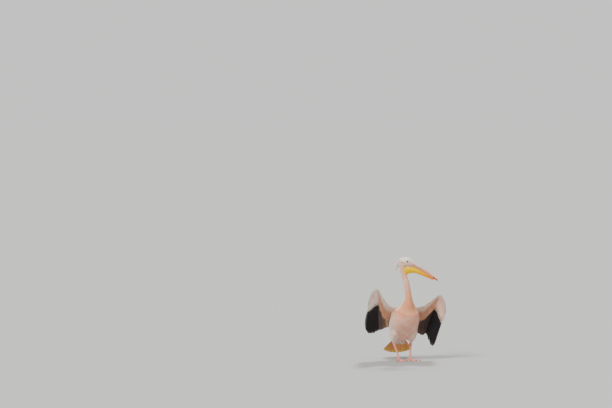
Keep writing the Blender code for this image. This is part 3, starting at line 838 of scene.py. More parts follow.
@dataclass(frozen=True)
class EyeFinish(Finish):
    """A wet eyeball: dark red-brown iris with fine spokes round a black pupil, under a clear glossy film."""

    name: str = "wet_dark_iris"
    pupil: str = "030203"
    iris: str = "43160D"
    spoke: str = "1E0907"
    rim: str = "120808"

    def inputs(self, tree: NodeTree) -> dict[str, Any]:
        """Reads the eyeball's own map: round it, and out from the pupil."""
        form = add(tree, "UVMap", uv_map="Form")
        out = add(tree, "SeparateXYZ", {0: form}).outputs[1]
        # Sixty spokes round the iris are 0.3 mm each, coarser than real so that they show.
        spun = add(tree, "VectorMath", {0: form, 1: (60.0, 6.0, 1.0)}, operation="MULTIPLY")
        fibre = add(tree, "TexNoise", {0: spun, "Scale": 1.0, "Detail": 3.0})
        inner = add(tree, "MapRange", {0: out, 1: 0.120, 2: 0.135, 3: 1.0, 4: 0.0})
        outer = add(tree, "MapRange", {0: out, 1: 0.245, 2: 0.275})
        colour = linear(self.spoke)
        for amount, code in ((fibre, self.iris), (inner, self.pupil), (outer, self.rim)):
            colour = add(tree, "Mix", {0: amount, 6: colour, 7: linear(code)}, data_type="RGBA")
        return {"Base Color": colour, "Roughness": 0.12, "IOR": 1.38, "Coat Weight": 1.0, "Coat Roughness": 0.02}


@dataclass(frozen=True)
class LegFinish(Finish):
    """Scaly bare skin of legs and webs: small horny plates over pink skin.

    The eye sees rose pink plates, a deeper flush in the seams and the joints, and a soft waxy gloss.
    """

    name: str = "rose_pink_scaled_skin"
    plate: str = "EDB0A2"
    seam: str = "C77E74"
    flush: str = "DE8C7C"

    def inputs(self, tree: NodeTree) -> dict[str, Any]:
        """Reads the marks of the seams and the flush."""
        seam, flush = (add(tree, "Attribute", attribute_name=mark) for mark in ("seam", "flush"))
        spot = add(tree, "TexCoord").outputs["Object"]
        # Flushed patches are 18 mm across, small plates 1.4 mm and grain 1.1 mm.
        cloud = add(tree, "TexNoise", {0: spot, "Scale": 55.0, "Detail": 5.0})
        grain = add(tree, "TexNoise", {0: spot, "Scale": 900.0, "Detail": 3.0})
        cell = add(tree, "TexVoronoi", {0: spot, "Scale": 700.0}, feature="DISTANCE_TO_EDGE")
        patch = add(tree, "MapRange", {0: cloud, 1: 0.38, 2: 0.68, 3: 0.0, 4: 0.55})
        patch = add(tree, "Math", {0: patch, 1: flush}, operation="ADD", use_clamp=True)
        colour = linear(self.plate)
        for amount, code in ((patch, self.flush), (seam, self.seam)):
            colour = add(tree, "Mix", {0: amount, 6: colour, 7: linear(code)}, data_type="RGBA")
        small = add(tree, "MapRange", {0: cell, 1: 0.0, 2: 0.10})
        height = add(tree, "Math", {0: small, 1: grain}, operation="ADD")
        return {
            "Base Color": colour,
            "Normal": add(tree, "Bump", {"Strength": 0.3, "Distance": 0.0003, "Height": height}),
            "Roughness": 0.45, "Subsurface Weight": 0.12, "Subsurface Radius": (0.8, 0.3, 0.2),
            "Subsurface Scale": 0.003,
        }


@dataclass(frozen=True)
class FloorFinish(Finish):
    """Matt painted floor: an even pale grey with the faintest clouding, in patches of 0.3 m."""

    name: str = "matt_painted_floor"
    paint: str = "B2B2B0"

    def inputs(self, tree: NodeTree) -> dict[str, Any]:
        """Reads Object coordinates."""
        cloud = {0: add(tree, "TexCoord").outputs["Object"], "Scale": 3.0, "Detail": 3.0}
        value = add(tree, "MapRange", {0: add(tree, "TexNoise", cloud), 3: 0.985, 4: 1.015})
        tone = add(tree, "HueSaturation", {"Value": value, "Color": linear(self.paint)})
        return {"Base Color": tone, "Roughness": 1.0, "Specular IOR Level": 0.0}


# ---- skin


@dataclass(frozen=True)
class Pelt:
    """How the coat sits on one part of the body."""

    depth: float
    length: float
    give: float = 1.0  # how strongly the part's surface is smoothed


PELTS = {
    "trunk": Pelt(0.0045, 0.036), "neck_lower": Pelt(0.0040, 0.021), "neck_upper": Pelt(0.0035, 0.0135),
    "head": Pelt(0.0016, 0.0085, 0.35), "tail_root": Pelt(0.0050, 0.046, 0.8),
    "thigh_left": Pelt(0.0050, 0.024), "thigh_right": Pelt(0.0050, 0.024),
    "wing_arm_left": Pelt(0.0020, 0.013, 0.25), "wing_arm_right": Pelt(0.0020, 0.013, 0.25),
    "wing_hand_left": Pelt(0.0018, 0.011, 0.2), "wing_hand_right": Pelt(0.0018, 0.011, 0.2),
}
FLESH = tuple(PELTS)


@dataclass
class Skin:
    """One skin over every feathered part, inside the CAD solids by the coat's depth, with the coat's lie on it."""

    voxel: float = 0.0042
    settling: tuple[int, float, float] = (14, 0.50, 0.48)  # rounds, and how far each smooths and then swells back
    body_rounds: int = 110
    crease_rounds: int = 90

    def shell(self) -> tuple[Mesh, BVHTree, Array]:
        """Joins the parts' solids into one closed surface.

        Returns:
            The surface, a search tree of the solids' faces, and the part that each of those faces is of.
        """
        spots, corners, owner = soup(frame["nodes"][name].data for name in FLESH)
        mesh = bpy.data.meshes.new("flesh")
        mesh.from_pydata(spots, [], corners)
        cage = bmesh.new()
        cage.from_mesh(mesh)
        bmesh.ops.remove_doubles(cage, verts=cage.verts, dist=1e-5)
        cage.to_mesh(mesh)
        cage.free()
        flesh = in_scene("flesh", mesh)
        remesh = flesh.modifiers.new("one_surface", "REMESH")
        remesh.mode = "VOXEL"
        remesh.voxel_size = self.voxel
        whole = evaluated(flesh, "skin")
        bpy.data.objects.remove(flesh)
        return whole, BVHTree.FromPolygons(spots, corners), owner

    def build(self) -> Object:
        """Makes the skin.

        Returns:
            The skin, with its marks.
        """
        mesh, tree, owner = self.shell()
        count = len(mesh.vertices)
        points = rows_of(mesh.vertices, "co").astype(float)
        edges = rows_of(mesh.edges, "vertices", 2, np.int32)
        degree = np.bincount(edges.ravel(), minlength=count).astype(float)

        def averaged(values: Array) -> Array:
            """The mean of each point's neighbours."""
            flat = values.reshape(count, -1)
            total = np.stack(
                [
                    np.bincount(edges[:, 0], flat[edges[:, 1], k], count)
                    + np.bincount(edges[:, 1], flat[edges[:, 0], k], count)
                    for k in range(flat.shape[1])
                ],
                axis=-1,
            )
            return (total / degree[:, None]).reshape(values.shape)

        def smoothed(values: Array, times: int, amount: Any = 0.5) -> Array:
            """The values blended with their neighbours', several times."""
            for _ in range(times):
                values = values + (averaged(values) - values) * amount
            return values

        part = np.array([owner[tree.find_nearest(Vector(p))[2]] for p in points])
        weights = np.zeros((count, len(FLESH)))
        weights[np.arange(count), part] = 1.0
        soft = smoothed(weights, 10)
        depth, length, give = np.array([(pelt.depth, pelt.length, pelt.give) for pelt in PELTS.values()]).T
        give = (smoothed(soft, 6) @ give)[:, None]
        rounds, inward, back = self.settling
        for _ in range(rounds):
            points = points + (averaged(points) - points) * inward * give
            points = points - (averaged(points) - points) * back * give
        body = soft[:, FLESH.index("trunk")] + 0.3 * soft[:, FLESH.index("neck_lower")]
        points = smoothed(points, self.body_rounds, 0.5 * body[:, None])
        wide = smoothed(soft, 26)
        groups = {
            word + end: sum(wide[:, k] for k, name in enumerate(FLESH) if name.startswith(word) and name.endswith(end))
            for word, end in (
                ("trunk", ""), ("neck", ""), ("head", ""), ("tail", ""), ("thigh", "left"), ("thigh", "right"),
                ("wing", "left"), ("wing", "right"),
            )
        }
        crease = ease(1.0 - np.max(list(groups.values()), axis=0), 0.06, 0.34)
        crease *= 1.0 - ease(groups["wingleft"] + groups["wingright"], 0.35, 0.75)
        crease *= 1.0 - 0.75 * ease(groups["head"], 0.1, 0.5)
        points = smoothed(points, self.crease_rounds, 0.5 * crease[:, None])
        mesh.vertices.foreach_set("co", points.astype(np.float32).ravel())
        mesh.update()
        normals = unit(smoothed(rows_of(mesh.vertex_normals, "vector").astype(float), 4))
        points = points - normals * (soft @ depth)[:, None]
        masks = {name: soft[:, k] for k, name in enumerate(FLESH)}
        marks = self.marks(points, normals, masks, soft @ length, smoothed)
        mesh.vertices.foreach_set("co", points.astype(np.float32).ravel())
        write_marks(mesh, marks)
        mesh.shade_smooth()
        mesh.materials.clear()
        mesh.materials.append(SkinFinish().material())
        return in_scene("skin", mesh)

    def marks(
        self,
        points: Array,
        normals: Array,
        masks: dict[str, Array],
        length: Array,
        smoothed: Callable[..., Array],
    ) -> dict[str, Array]:
        """Works out the coat's lie, length and colour at each point of the skin.

        Args:
            points: The skin's points.
            normals: Its normals.
            masks: How much each point is of each part.
            length: The feathers' length from the part alone.
            smoothed: Blends values along the skin.

        Returns:
            The marks by name.
        """
        forward, _, height = HEAD.local(points)
        nape = 1.0 - ease(forward, -0.085, -0.03)
        low = 1.0 - ease(height, 1.05, 1.14)
        head_lie = -HEAD.ahead * (1.0 - 0.85 * nape)[:, None] - UPWARDS * (0.15 + nape + 0.5 * low)[:, None]
        trunk_side = ease(normals[:, 1], -0.2, 0.7)
        trunk_lie = np.array([0.0, 0.22, -1.0]) + np.array([0.0, 0.62, 0.25]) * trunk_side[:, None]
        lie = (
            masks["trunk"][:, None] * trunk_lie
            + (masks["neck_lower"] + masks["neck_upper"])[:, None] * np.array([0.0, 0.10, -1.0])
            + masks["head"][:, None] * head_lie
            + masks["tail_root"][:, None] * np.array([0.0, 0.574, -0.819])
            + (masks["thigh_left"] + masks["thigh_right"])[:, None] * np.array([0.0, 0.22, -1.0])
        )
        wing_mask = np.zeros(len(points))
        reach_on_wing = np.full(len(points), 0.3)
        for side, wing in WINGS.items():
            own = masks[f"wing_arm_{side.word}"] + masks[f"wing_hand_{side.word}"]
            wing_mask += own
            shares, reaches = np.meshgrid(np.linspace(0, 1, 90), np.linspace(-1, 0.34, 36), indexing="ij")
            spot, along, _ = (values.reshape(-1, 3) for values in wing.frame(shares, reaches))
            reach = reaches.ravel()
            for k in np.nonzero(own > 0.02)[0]:
                near = int(np.argmin(((spot - points[k]) ** 2).sum(axis=1)))
                lie[k] += own[k] * along[near]
                reach_on_wing[k] = reach[near]
        lie = smoothed(lie, 14)
        lie = unit(lie - (lie * normals).sum(axis=1, keepdims=True) * normals)
        lie = smoothed(lie, 10)
        lie = unit(lie - (lie * normals).sum(axis=1, keepdims=True) * normals)
        length = smoothed(length + masks["trunk"] * 0.014 * trunk_side, 40)
        length = length * (1.0 - 0.40 * masks["head"] * ease(forward, -0.02, 0.05))
        face = face_mask(forward, height)
        cheek = bell(forward, -0.044, 0.042) * bell(height + 0.25 * (forward + 0.03), 1.126, 0.012)
        neck = masks["neck_lower"] + masks["neck_upper"]
        front = ease(-normals[:, 1], -0.3, 0.5)
        crop = bell(height, 0.605, 0.075) * (neck + masks["trunk"]).clip(0, 1)
        throat = neck * front * (0.30 + 0.18 * ease(height, 0.95, 0.70))
        # The blush is partly the plumage's pink flush and partly painted shade, which raises it on the front and most
        # on the lower belly.
        blush = 0.20 + 0.24 * front + crop * (0.14 + 0.42 * front) + throat
        blush = blush + 0.24 * masks["trunk"] * front * ease(height, 0.60, 0.42) + 0.06 * masks["tail_root"]
        blush = blush + 0.14 * ripple(points, 0.10, 3) * (1.0 - masks["head"])
        nape_blush = 0.60 * (1.0 - ease(height, 1.085, 1.160)) * (1.0 - 0.7 * ease(forward, 0.0, 0.03))
        blush = blush * (1.0 - 0.88 * masks["head"]) + masks["head"] * nape_blush
        body = (masks["trunk"] + masks["tail_root"]).clip(0, 1)
        blunt = 1.0 - masks["tail_root"] * ease(normals @ np.array([0.0, 0.574, -0.819]), 0.25, 0.55)
        lead = wing_mask * (1.0 - ease(reach_on_wing, -0.80, -0.55))
        shoulder = wing_mask * ease(masks["trunk"] + masks["neck_lower"], 0.0, 0.2)
        return {
            "up": normals,
            "lie": lie,
            "length": length,
            "blush": blush.clip(0, 1),
            "tan": (0.80 * cheek * masks["head"]).clip(0, 1),
            "face": face * masks["head"].clip(0, 1),
            "sow_head": (masks["head"] * (1.0 - face)).clip(0, 1),
            "sow_neck": neck.clip(0, 1),
            "sow_front": (body * (1.0 - trunk_side) * blunt).clip(0, 1),
            "sow_back": (body * trunk_side * blunt).clip(0, 1),
            "sow_thigh": (masks["thigh_left"] + masks["thigh_right"]).clip(0, 1),
            "sow_wing": np.maximum(lead, shoulder).clip(0, 1),
        }


def face_depth(forward: Array, height: Array) -> Array:
    """How far inside the bare face a place on the head is, in metres, by distance ahead and height."""
    middle = np.interp(forward, (-0.004, 0.02, 0.055, 0.09), (1.134, 1.134, 1.122, 1.113))
    half = np.interp(forward, (-0.006, 0.006, 0.03, 0.06, 0.09), (0.0, 0.013, 0.020, 0.024, 0.027))
    crown = np.interp(forward, (0.022, 0.048, 0.070, 0.086), (1.184, 1.175, 1.156, 1.136))
    return np.minimum(np.minimum(half - np.abs(height - middle), (forward + 0.004) * 0.8), crown - 0.006 - height)


def face_mask(forward: Array, height: Array) -> Array:
    """Where the face is bare, from 0 to 1."""
    return ease(face_depth(forward, height), -0.0015, 0.0025)


# ---- small feathers


class Cut(Enum):
    """Outlines of small feathers: half width at places from the root to the tip, as shares of the length."""

    CONTOUR = ((0.0, 0.03), (0.12, 0.15), (0.35, 0.27), (0.60, 0.30), (0.80, 0.26), (0.93, 0.16), (1.0, 0.03))
    VELVET = ((0.0, 0.05), (0.35, 0.19), (0.70, 0.15), (1.0, 0.01))
    PLUME = ((0.0, 0.03), (0.20, 0.13), (0.45, 0.19), (0.70, 0.16), (0.88, 0.09), (1.0, 0.01))
    MANTLE = ((0.0, 0.03), (0.15, 0.12), (0.40, 0.20), (0.65, 0.215), (0.84, 0.17), (0.95, 0.09), (1.0, 0.02))


@dataclass(frozen=True)
class Quill:
    """A small feather one long, its root at the origin, lying along +Y with its upper side to +Z."""

    cut: Cut
    across: int = 5
    droop: float = 0.10  # how far the tip bends down, as a share of the length
    hollow: float = 0.22  # how far the edges drop, as a share of the half width
    fray: float = 0.035

    def template(self) -> Object:
        """Makes the feather that the coat repeats.

        Returns:
            The feather, to be removed when the coat is made.
        """
        along, half = (np.array(values) for values in zip(*self.cut.value))
        aside = np.linspace(-1.0, 1.0, self.across)
        points = np.zeros((len(along), self.across, 3))
        points[..., 0] = half[:, None] * aside
        points[..., 1] = along[:, None] - self.fray * (np.arange(self.across) % 2) * along[:, None] ** 3
        points[..., 1] -= 0.10 * half[:, None] * np.abs(aside)
        points[..., 2] = -self.droop * along[:, None] ** 2 - self.hollow * half[:, None] * aside**2
        shape = Shape()
        shape.grid(points, maps={"Vane": joined(aside / 2 + 0.5, along[:, None])})
        return shape.made(f"template_{self.cut.name.lower()}")


@dataclass(frozen=True)
class CoatPatch:
    """One stretch of the coat."""

    name: str
    where: str  # the mark that says where feathers grow
    quill: Quill
    lift: float  # how far feathers are raised off the skin, in radians
    turn: float  # how far they stray from the lie, in radians
    spacing: float = 0.01  # the least distance between sown roots, in metres


# The small feathers sown over the skin, smallest on the face.
COAT = (
    CoatPatch("coat_head", "sow_head", Quill(Cut.VELVET, 3), 0.13, 0.22, 0.0018),
    CoatPatch("coat_neck", "sow_neck", Quill(Cut.VELVET, 3), 0.11, 0.20, 0.0033),
    CoatPatch("coat_front", "sow_front", Quill(Cut.PLUME), 0.09, 0.17, 0.0072),
    CoatPatch("coat_back", "sow_back", Quill(Cut.MANTLE), 0.08, 0.13, 0.0076),
    CoatPatch("coat_thighs", "sow_thigh", Quill(Cut.PLUME), 0.10, 0.20, 0.0054),
    CoatPatch("coat_wing_edges", "sow_wing", Quill(Cut.VELVET, 3), 0.10, 0.16, 0.0034),
)


class CoatNodes:
    """The node tree that lays feathers on a surface, or on points made ready for them.

    The surface carries, at each point, the way up, the lie, the length and the marks.
    """

    def __init__(self) -> None:
        """Builds the tree once; each coat sets its inputs."""
        self.tree = bpy.data.node_groups.new("lay_feathers", "GeometryNodeTree")
        face = self.tree.interface
        self.sockets = {}
        for name, kind in (
            ("Geometry", "NodeSocketGeometry"), ("Feather", "NodeSocketObject"), ("Finish", "NodeSocketMaterial"),
            ("Sow", "NodeSocketBool"), ("Where", "NodeSocketString"), ("Spacing", "NodeSocketFloat"),
            ("Lift", "NodeSocketFloat"), ("Turn", "NodeSocketFloat"), ("Seed", "NodeSocketInt"),
        ):
            self.sockets[name] = face.new_socket(name, in_out="INPUT", socket_type=kind)
        face.new_socket("Geometry", in_out="OUTPUT", socket_type="NodeSocketGeometry")
        self.wire()

    def wire(self) -> None:
        """Adds the nodes and their links."""
        tree = self.tree
        given = add(tree, "NodeGroupInput").outputs
        seeds = iter((0, 11, 23, 37))

        def mark(name: Any, kind: str = "FLOAT_VECTOR") -> Any:
            """Reads a mark of the surface."""
            return add(tree, "GeometryNodeInputNamedAttribute", {"Name": name}, data_type=kind)

        def chance(low: float, high: float) -> Any:
            """Draws a number for each feather."""
            seed = add(tree, "Math", {0: given["Seed"], 1: float(next(seeds))}, operation="ADD")
            return add(tree, "FunctionNodeRandomValue", {2: low, 3: high, "Seed": seed}, data_type="FLOAT")

        where = mark(given["Where"], "FLOAT")
        square = add(tree, "Math", {0: given["Spacing"], 1: given["Spacing"]}, operation="MULTIPLY")
        sown = {
            "Mesh": given["Geometry"], "Distance Min": given["Spacing"], "Density Factor": where,
            "Seed": given["Seed"],
            "Selection": add(tree, "FunctionNodeCompare", {0: where, 1: BARE}, operation="GREATER_THAN"),
            "Density Max": add(tree, "Math", {0: CROWD, 1: square}, operation="DIVIDE"),
        }
        sown = add(tree, "GeometryNodeDistributePointsOnFaces", sown, distribute_method="POISSON")
        ready = {0: given["Sow"], 1: given["Geometry"], 2: sown}
        ready = add(tree, "GeometryNodeSwitch", ready, input_type="GEOMETRY")
        stand = {0: mark("up"), 1: mark("lie")}
        stand = add(tree, "FunctionNodeAxesToRotation", stand, primary_axis="Z", secondary_axis="Y")
        raised = add(tree, "Math", {0: chance(-1.0, 1.0), 1: UNEVEN_LIFT, 2: 1.0}, operation="MULTIPLY_ADD")
        raised = add(tree, "Math", {0: raised, 1: given["Lift"]}, operation="MULTIPLY")
        turned = add(tree, "Math", {0: chance(-1.0, 1.0), 1: given["Turn"]}, operation="MULTIPLY")
        rolled = add(tree, "Math", {0: turned, 1: ROLL}, operation="MULTIPLY")
        lean = add(tree, "CombineXYZ", {0: raised, 1: rolled, 2: turned})
        pose = {0: stand, 1: add(tree, "FunctionNodeEulerToRotation", {0: lean})}
        size = {0: chance(*FEATHER_SIZES), 1: mark("length", "FLOAT")}
        feather = add(tree, "GeometryNodeObjectInfo", {"Object": given["Feather"]}, transform_space="ORIGINAL")
        laid = add(tree, "GeometryNodeInstanceOnPoints", {
            "Points": ready, "Instance": feather.outputs["Geometry"],
            "Rotation": add(tree, "FunctionNodeRotateRotation", pose, rotation_space="LOCAL"),
            "Scale": add(tree, "Math", size, operation="MULTIPLY"),
        })
        store = "GeometryNodeStoreNamedAttribute"
        tint = {"Geometry": laid, "Name": "tint", "Value": chance(0.0, 1.0)}
        real = {0: add(tree, store, tint, data_type="FLOAT", domain="INSTANCE")}
        centred = add(tree, "VectorMath", {0: mark("Vane"), 1: (0.5, 0.5, 0.0)}, operation="SUBTRACT")
        patch = {0: centred, 1: (PATCH, PATCH, 0.0), 2: mark("root_place")}
        baked = {
            "Geometry": add(tree, "GeometryNodeRealizeInstances", real), "Name": "OFBake",
            "Value": add(tree, "VectorMath", patch, operation="MULTIPLY_ADD"),
        }
        blend = {0: SOFTNESS, 4: add(tree, "GeometryNodeInputNormal"), 5: mark("up")}
        light = {
            "Mesh": add(tree, store, baked, data_type="FLOAT2", domain="CORNER"),
            "Custom Normal": add(tree, "Mix", blend, data_type="VECTOR"),
        }
        light = add(tree, "GeometryNodeSetMeshNormal", light, mode="FREE", domain="CORNER")
        for name in ("up", "lie", "length", "root_place"):
            light = add(tree, "GeometryNodeRemoveAttribute", {"Geometry": light, "Name": name})
        dressed = {"Geometry": light, "Material": given["Finish"]}
        add(tree, "NodeGroupOutput", {0: add(tree, "GeometryNodeSetMaterial", dressed)})

    def lay(self, patch: CoatPatch, ground: Object, finish: Material, seed: int, sow: bool = True) -> None:
        """Lays one coat of feathers and gives it to the frame.

        Args:
            patch: The stretch of coat.
            ground: The skin, or points made ready, which are used up.
            finish: The feathers' material.
            seed: The random seed.
            sow: Whether points are sown over the ground's faces.
        """
        template = patch.quill.template()
        carrier = in_scene(patch.name, ground.data.copy())
        modifier = carrier.modifiers.new("lay_feathers", "NODES")
        modifier.node_group = self.tree
        for key, value in {
            "Feather": template, "Finish": finish, "Sow": sow, "Where": patch.where, "Spacing": patch.spacing,
            "Lift": patch.lift, "Turn": patch.turn, "Seed": seed,
        }.items():
            modifier[self.sockets[key].identifier] = value
        mesh = evaluated(carrier, patch.name)
        for used in (carrier, template) if sow else (carrier, template, ground):
            bpy.data.objects.remove(used)
        mesh.uv_layers["OFBake"].active_render = True
        mesh.uv_layers.active = mesh.uv_layers["OFBake"]
        place(in_scene(patch.name, mesh), "plumage_white")


def unwrap(ground: Object) -> None:
    """Unwraps a surface by its own shape and keeps each place as a mark for the feathers' roots."""
    bpy.context.view_layer.objects.active = ground
    ground.select_set(True)
    bpy.ops.object.mode_set(mode="EDIT")
    bpy.ops.mesh.select_all(action="SELECT")
    bpy.ops.uv.smart_project(angle_limit=math.radians(70.0), island_margin=0.002)
    bpy.ops.object.mode_set(mode="OBJECT")
    ground.select_set(False)
    mesh = ground.data
    layer = mesh.uv_layers[0]
    layer.name = "root_place"
    spots = rows_of(layer.data, "uv", 2).ravel()
    layer.data.foreach_set("uv", np.clip(spots, 0.0, 1.0) * 0.99 + 0.005)  # roots keep off the map's border


# ---- long feathers


# Places across a long feather, from the trailing edge to the leading one.
ACROSS = np.array([-1.0, -0.72, -0.42, -0.14, -0.055, 0.0, 0.055, 0.14, 0.45, 0.75, 1.0])


@dataclass(frozen=True)
class Vane:
    """The build of a long feather: a closed thin blade with a raised shaft on both faces."""

    rows: int = 16
    outer: float = 0.8  # width of the leading vane, as a share of the half width
    inner: float = 1.2
    point: float = 0.84  # where the tip starts to round, as a share of the length
    sharpness: float = 2.0  # 2 is a round tip, less is more pointed
    blade: float = 0.0003  # half the thickness of the vane
    shaft: float = 0.0015  # radius of the shaft at its root
    camber: float = 0.0018
    splits: int = 2  # places where the barbs have parted

    def grow(
        self,
        shape: Shape,
        surface: Sheet,
        centre: float,
        half: float,
        sway: float,
        tilt: float,
        strip: tuple[float, float],
        draw: np.random.Generator,
        warmth: float = 0.0,
    ) -> None:
        """Adds one feather.

        Args:
            shape: The mesh it is added to.
            surface: Gives the point and the upper normal at a share and a reach.
            centre: The share that its shaft lies on.
            half: Half its width, as a share.
            sway: How far its tip strays, as a share.
            tilt: How far its leading edge is raised over its trailing edge, in metres.
            strip: Where its strip of the map starts, and how wide it is.
            draw: The random draws.
            warmth: How much it takes the finish's warm colour, which paints a backlit glow or shade.
        """
        base = 1.0 - (1.0 - np.linspace(0.0, 1.0, self.rows)) ** 1.9
        cracks = draw.uniform(0.35, 0.93, self.splits)
        along = np.unique(np.concatenate([base, *(cracks + step for step in (-0.011, 0.0, 0.011))]).clip(0, 1))
        across = ACROSS
        over = np.clip((along - self.point) / (1.0 - self.point), 0.0, 1.0)
        width = (0.45 + 0.55 * ease(along, 0.0, 0.15)) * np.sqrt(np.clip(1.0 - over**self.sharpness, 0.004, 1.0))
        reach = along[:, None] - 0.012 * np.abs(across)[None, :] * (1.0 - over[:, None])
        edge = np.ones((len(along), len(across)))
        for k, crack in enumerate(cracks):
            cut = bell(along, crack, 0.008) * draw.uniform(0.08, 0.26)
            own = across > 0.3 if k % 2 else across < -0.3
            edge -= cut[:, None] * own[None, :] * (np.abs(across)[None, :] - 0.3) / 0.7
        vane = np.where(across > 0, self.outer, self.inner)[None, :] * across[None, :] * width[:, None]
        share = centre + sway * along[:, None] ** 2 + half * vane * edge
        spot, normal = surface(share, np.clip(reach, 0.0, 1.0))
        bow = tilt * vane - self.camber * vane**2
        keel = self.shaft * (1.0 - 0.75 * along)
        bulge = np.interp(np.abs(across), (0.0, 0.055, 0.14, 1.0), (1.0, 0.62, 0.0, 0.0))
        depth = self.blade * (1.0 - 0.5 * np.abs(across))[None, :] + keel[:, None] * bulge[None, :]
        map_across = across / 2 + 0.5
        start, wide = strip
        tint = draw.uniform()
        outline = []
        for face in (1.0, -1.0):
            first = shape.count
            u = start + wide * (0.03 + 0.45 * map_across + (0.0 if face > 0 else 0.49))
            maps = {
                "Vane": joined(map_across[None, :], along[:, None]),
                "OFBake": joined(u[None, :], 0.01 + 0.98 * along[:, None]),
            }
            sheet = spot + normal * (bow + face * depth)[..., None]
            shape.grid(sheet, maps, {"tint": tint, "warmth": warmth}, flip=face > 0)
            index = np.arange(len(along) * len(across)).reshape(len(along), len(across)) + first
            outline.append(np.concatenate([index[0, :-1], index[:-1, -1], index[-1, :0:-1], index[:0:-1, 0]]))
        shape.rim(*outline)


class Station(Enum):
    """Rows of a wing's long feathers, from the shoulder outwards."""

    TERTIALS = ("tertials", 0.005, 0.150, 9)
    SECONDARIES = ("secondaries", 0.155, 0.545, 18)
    PRIMARIES = ("primaries", 0.560, 0.995, 10)


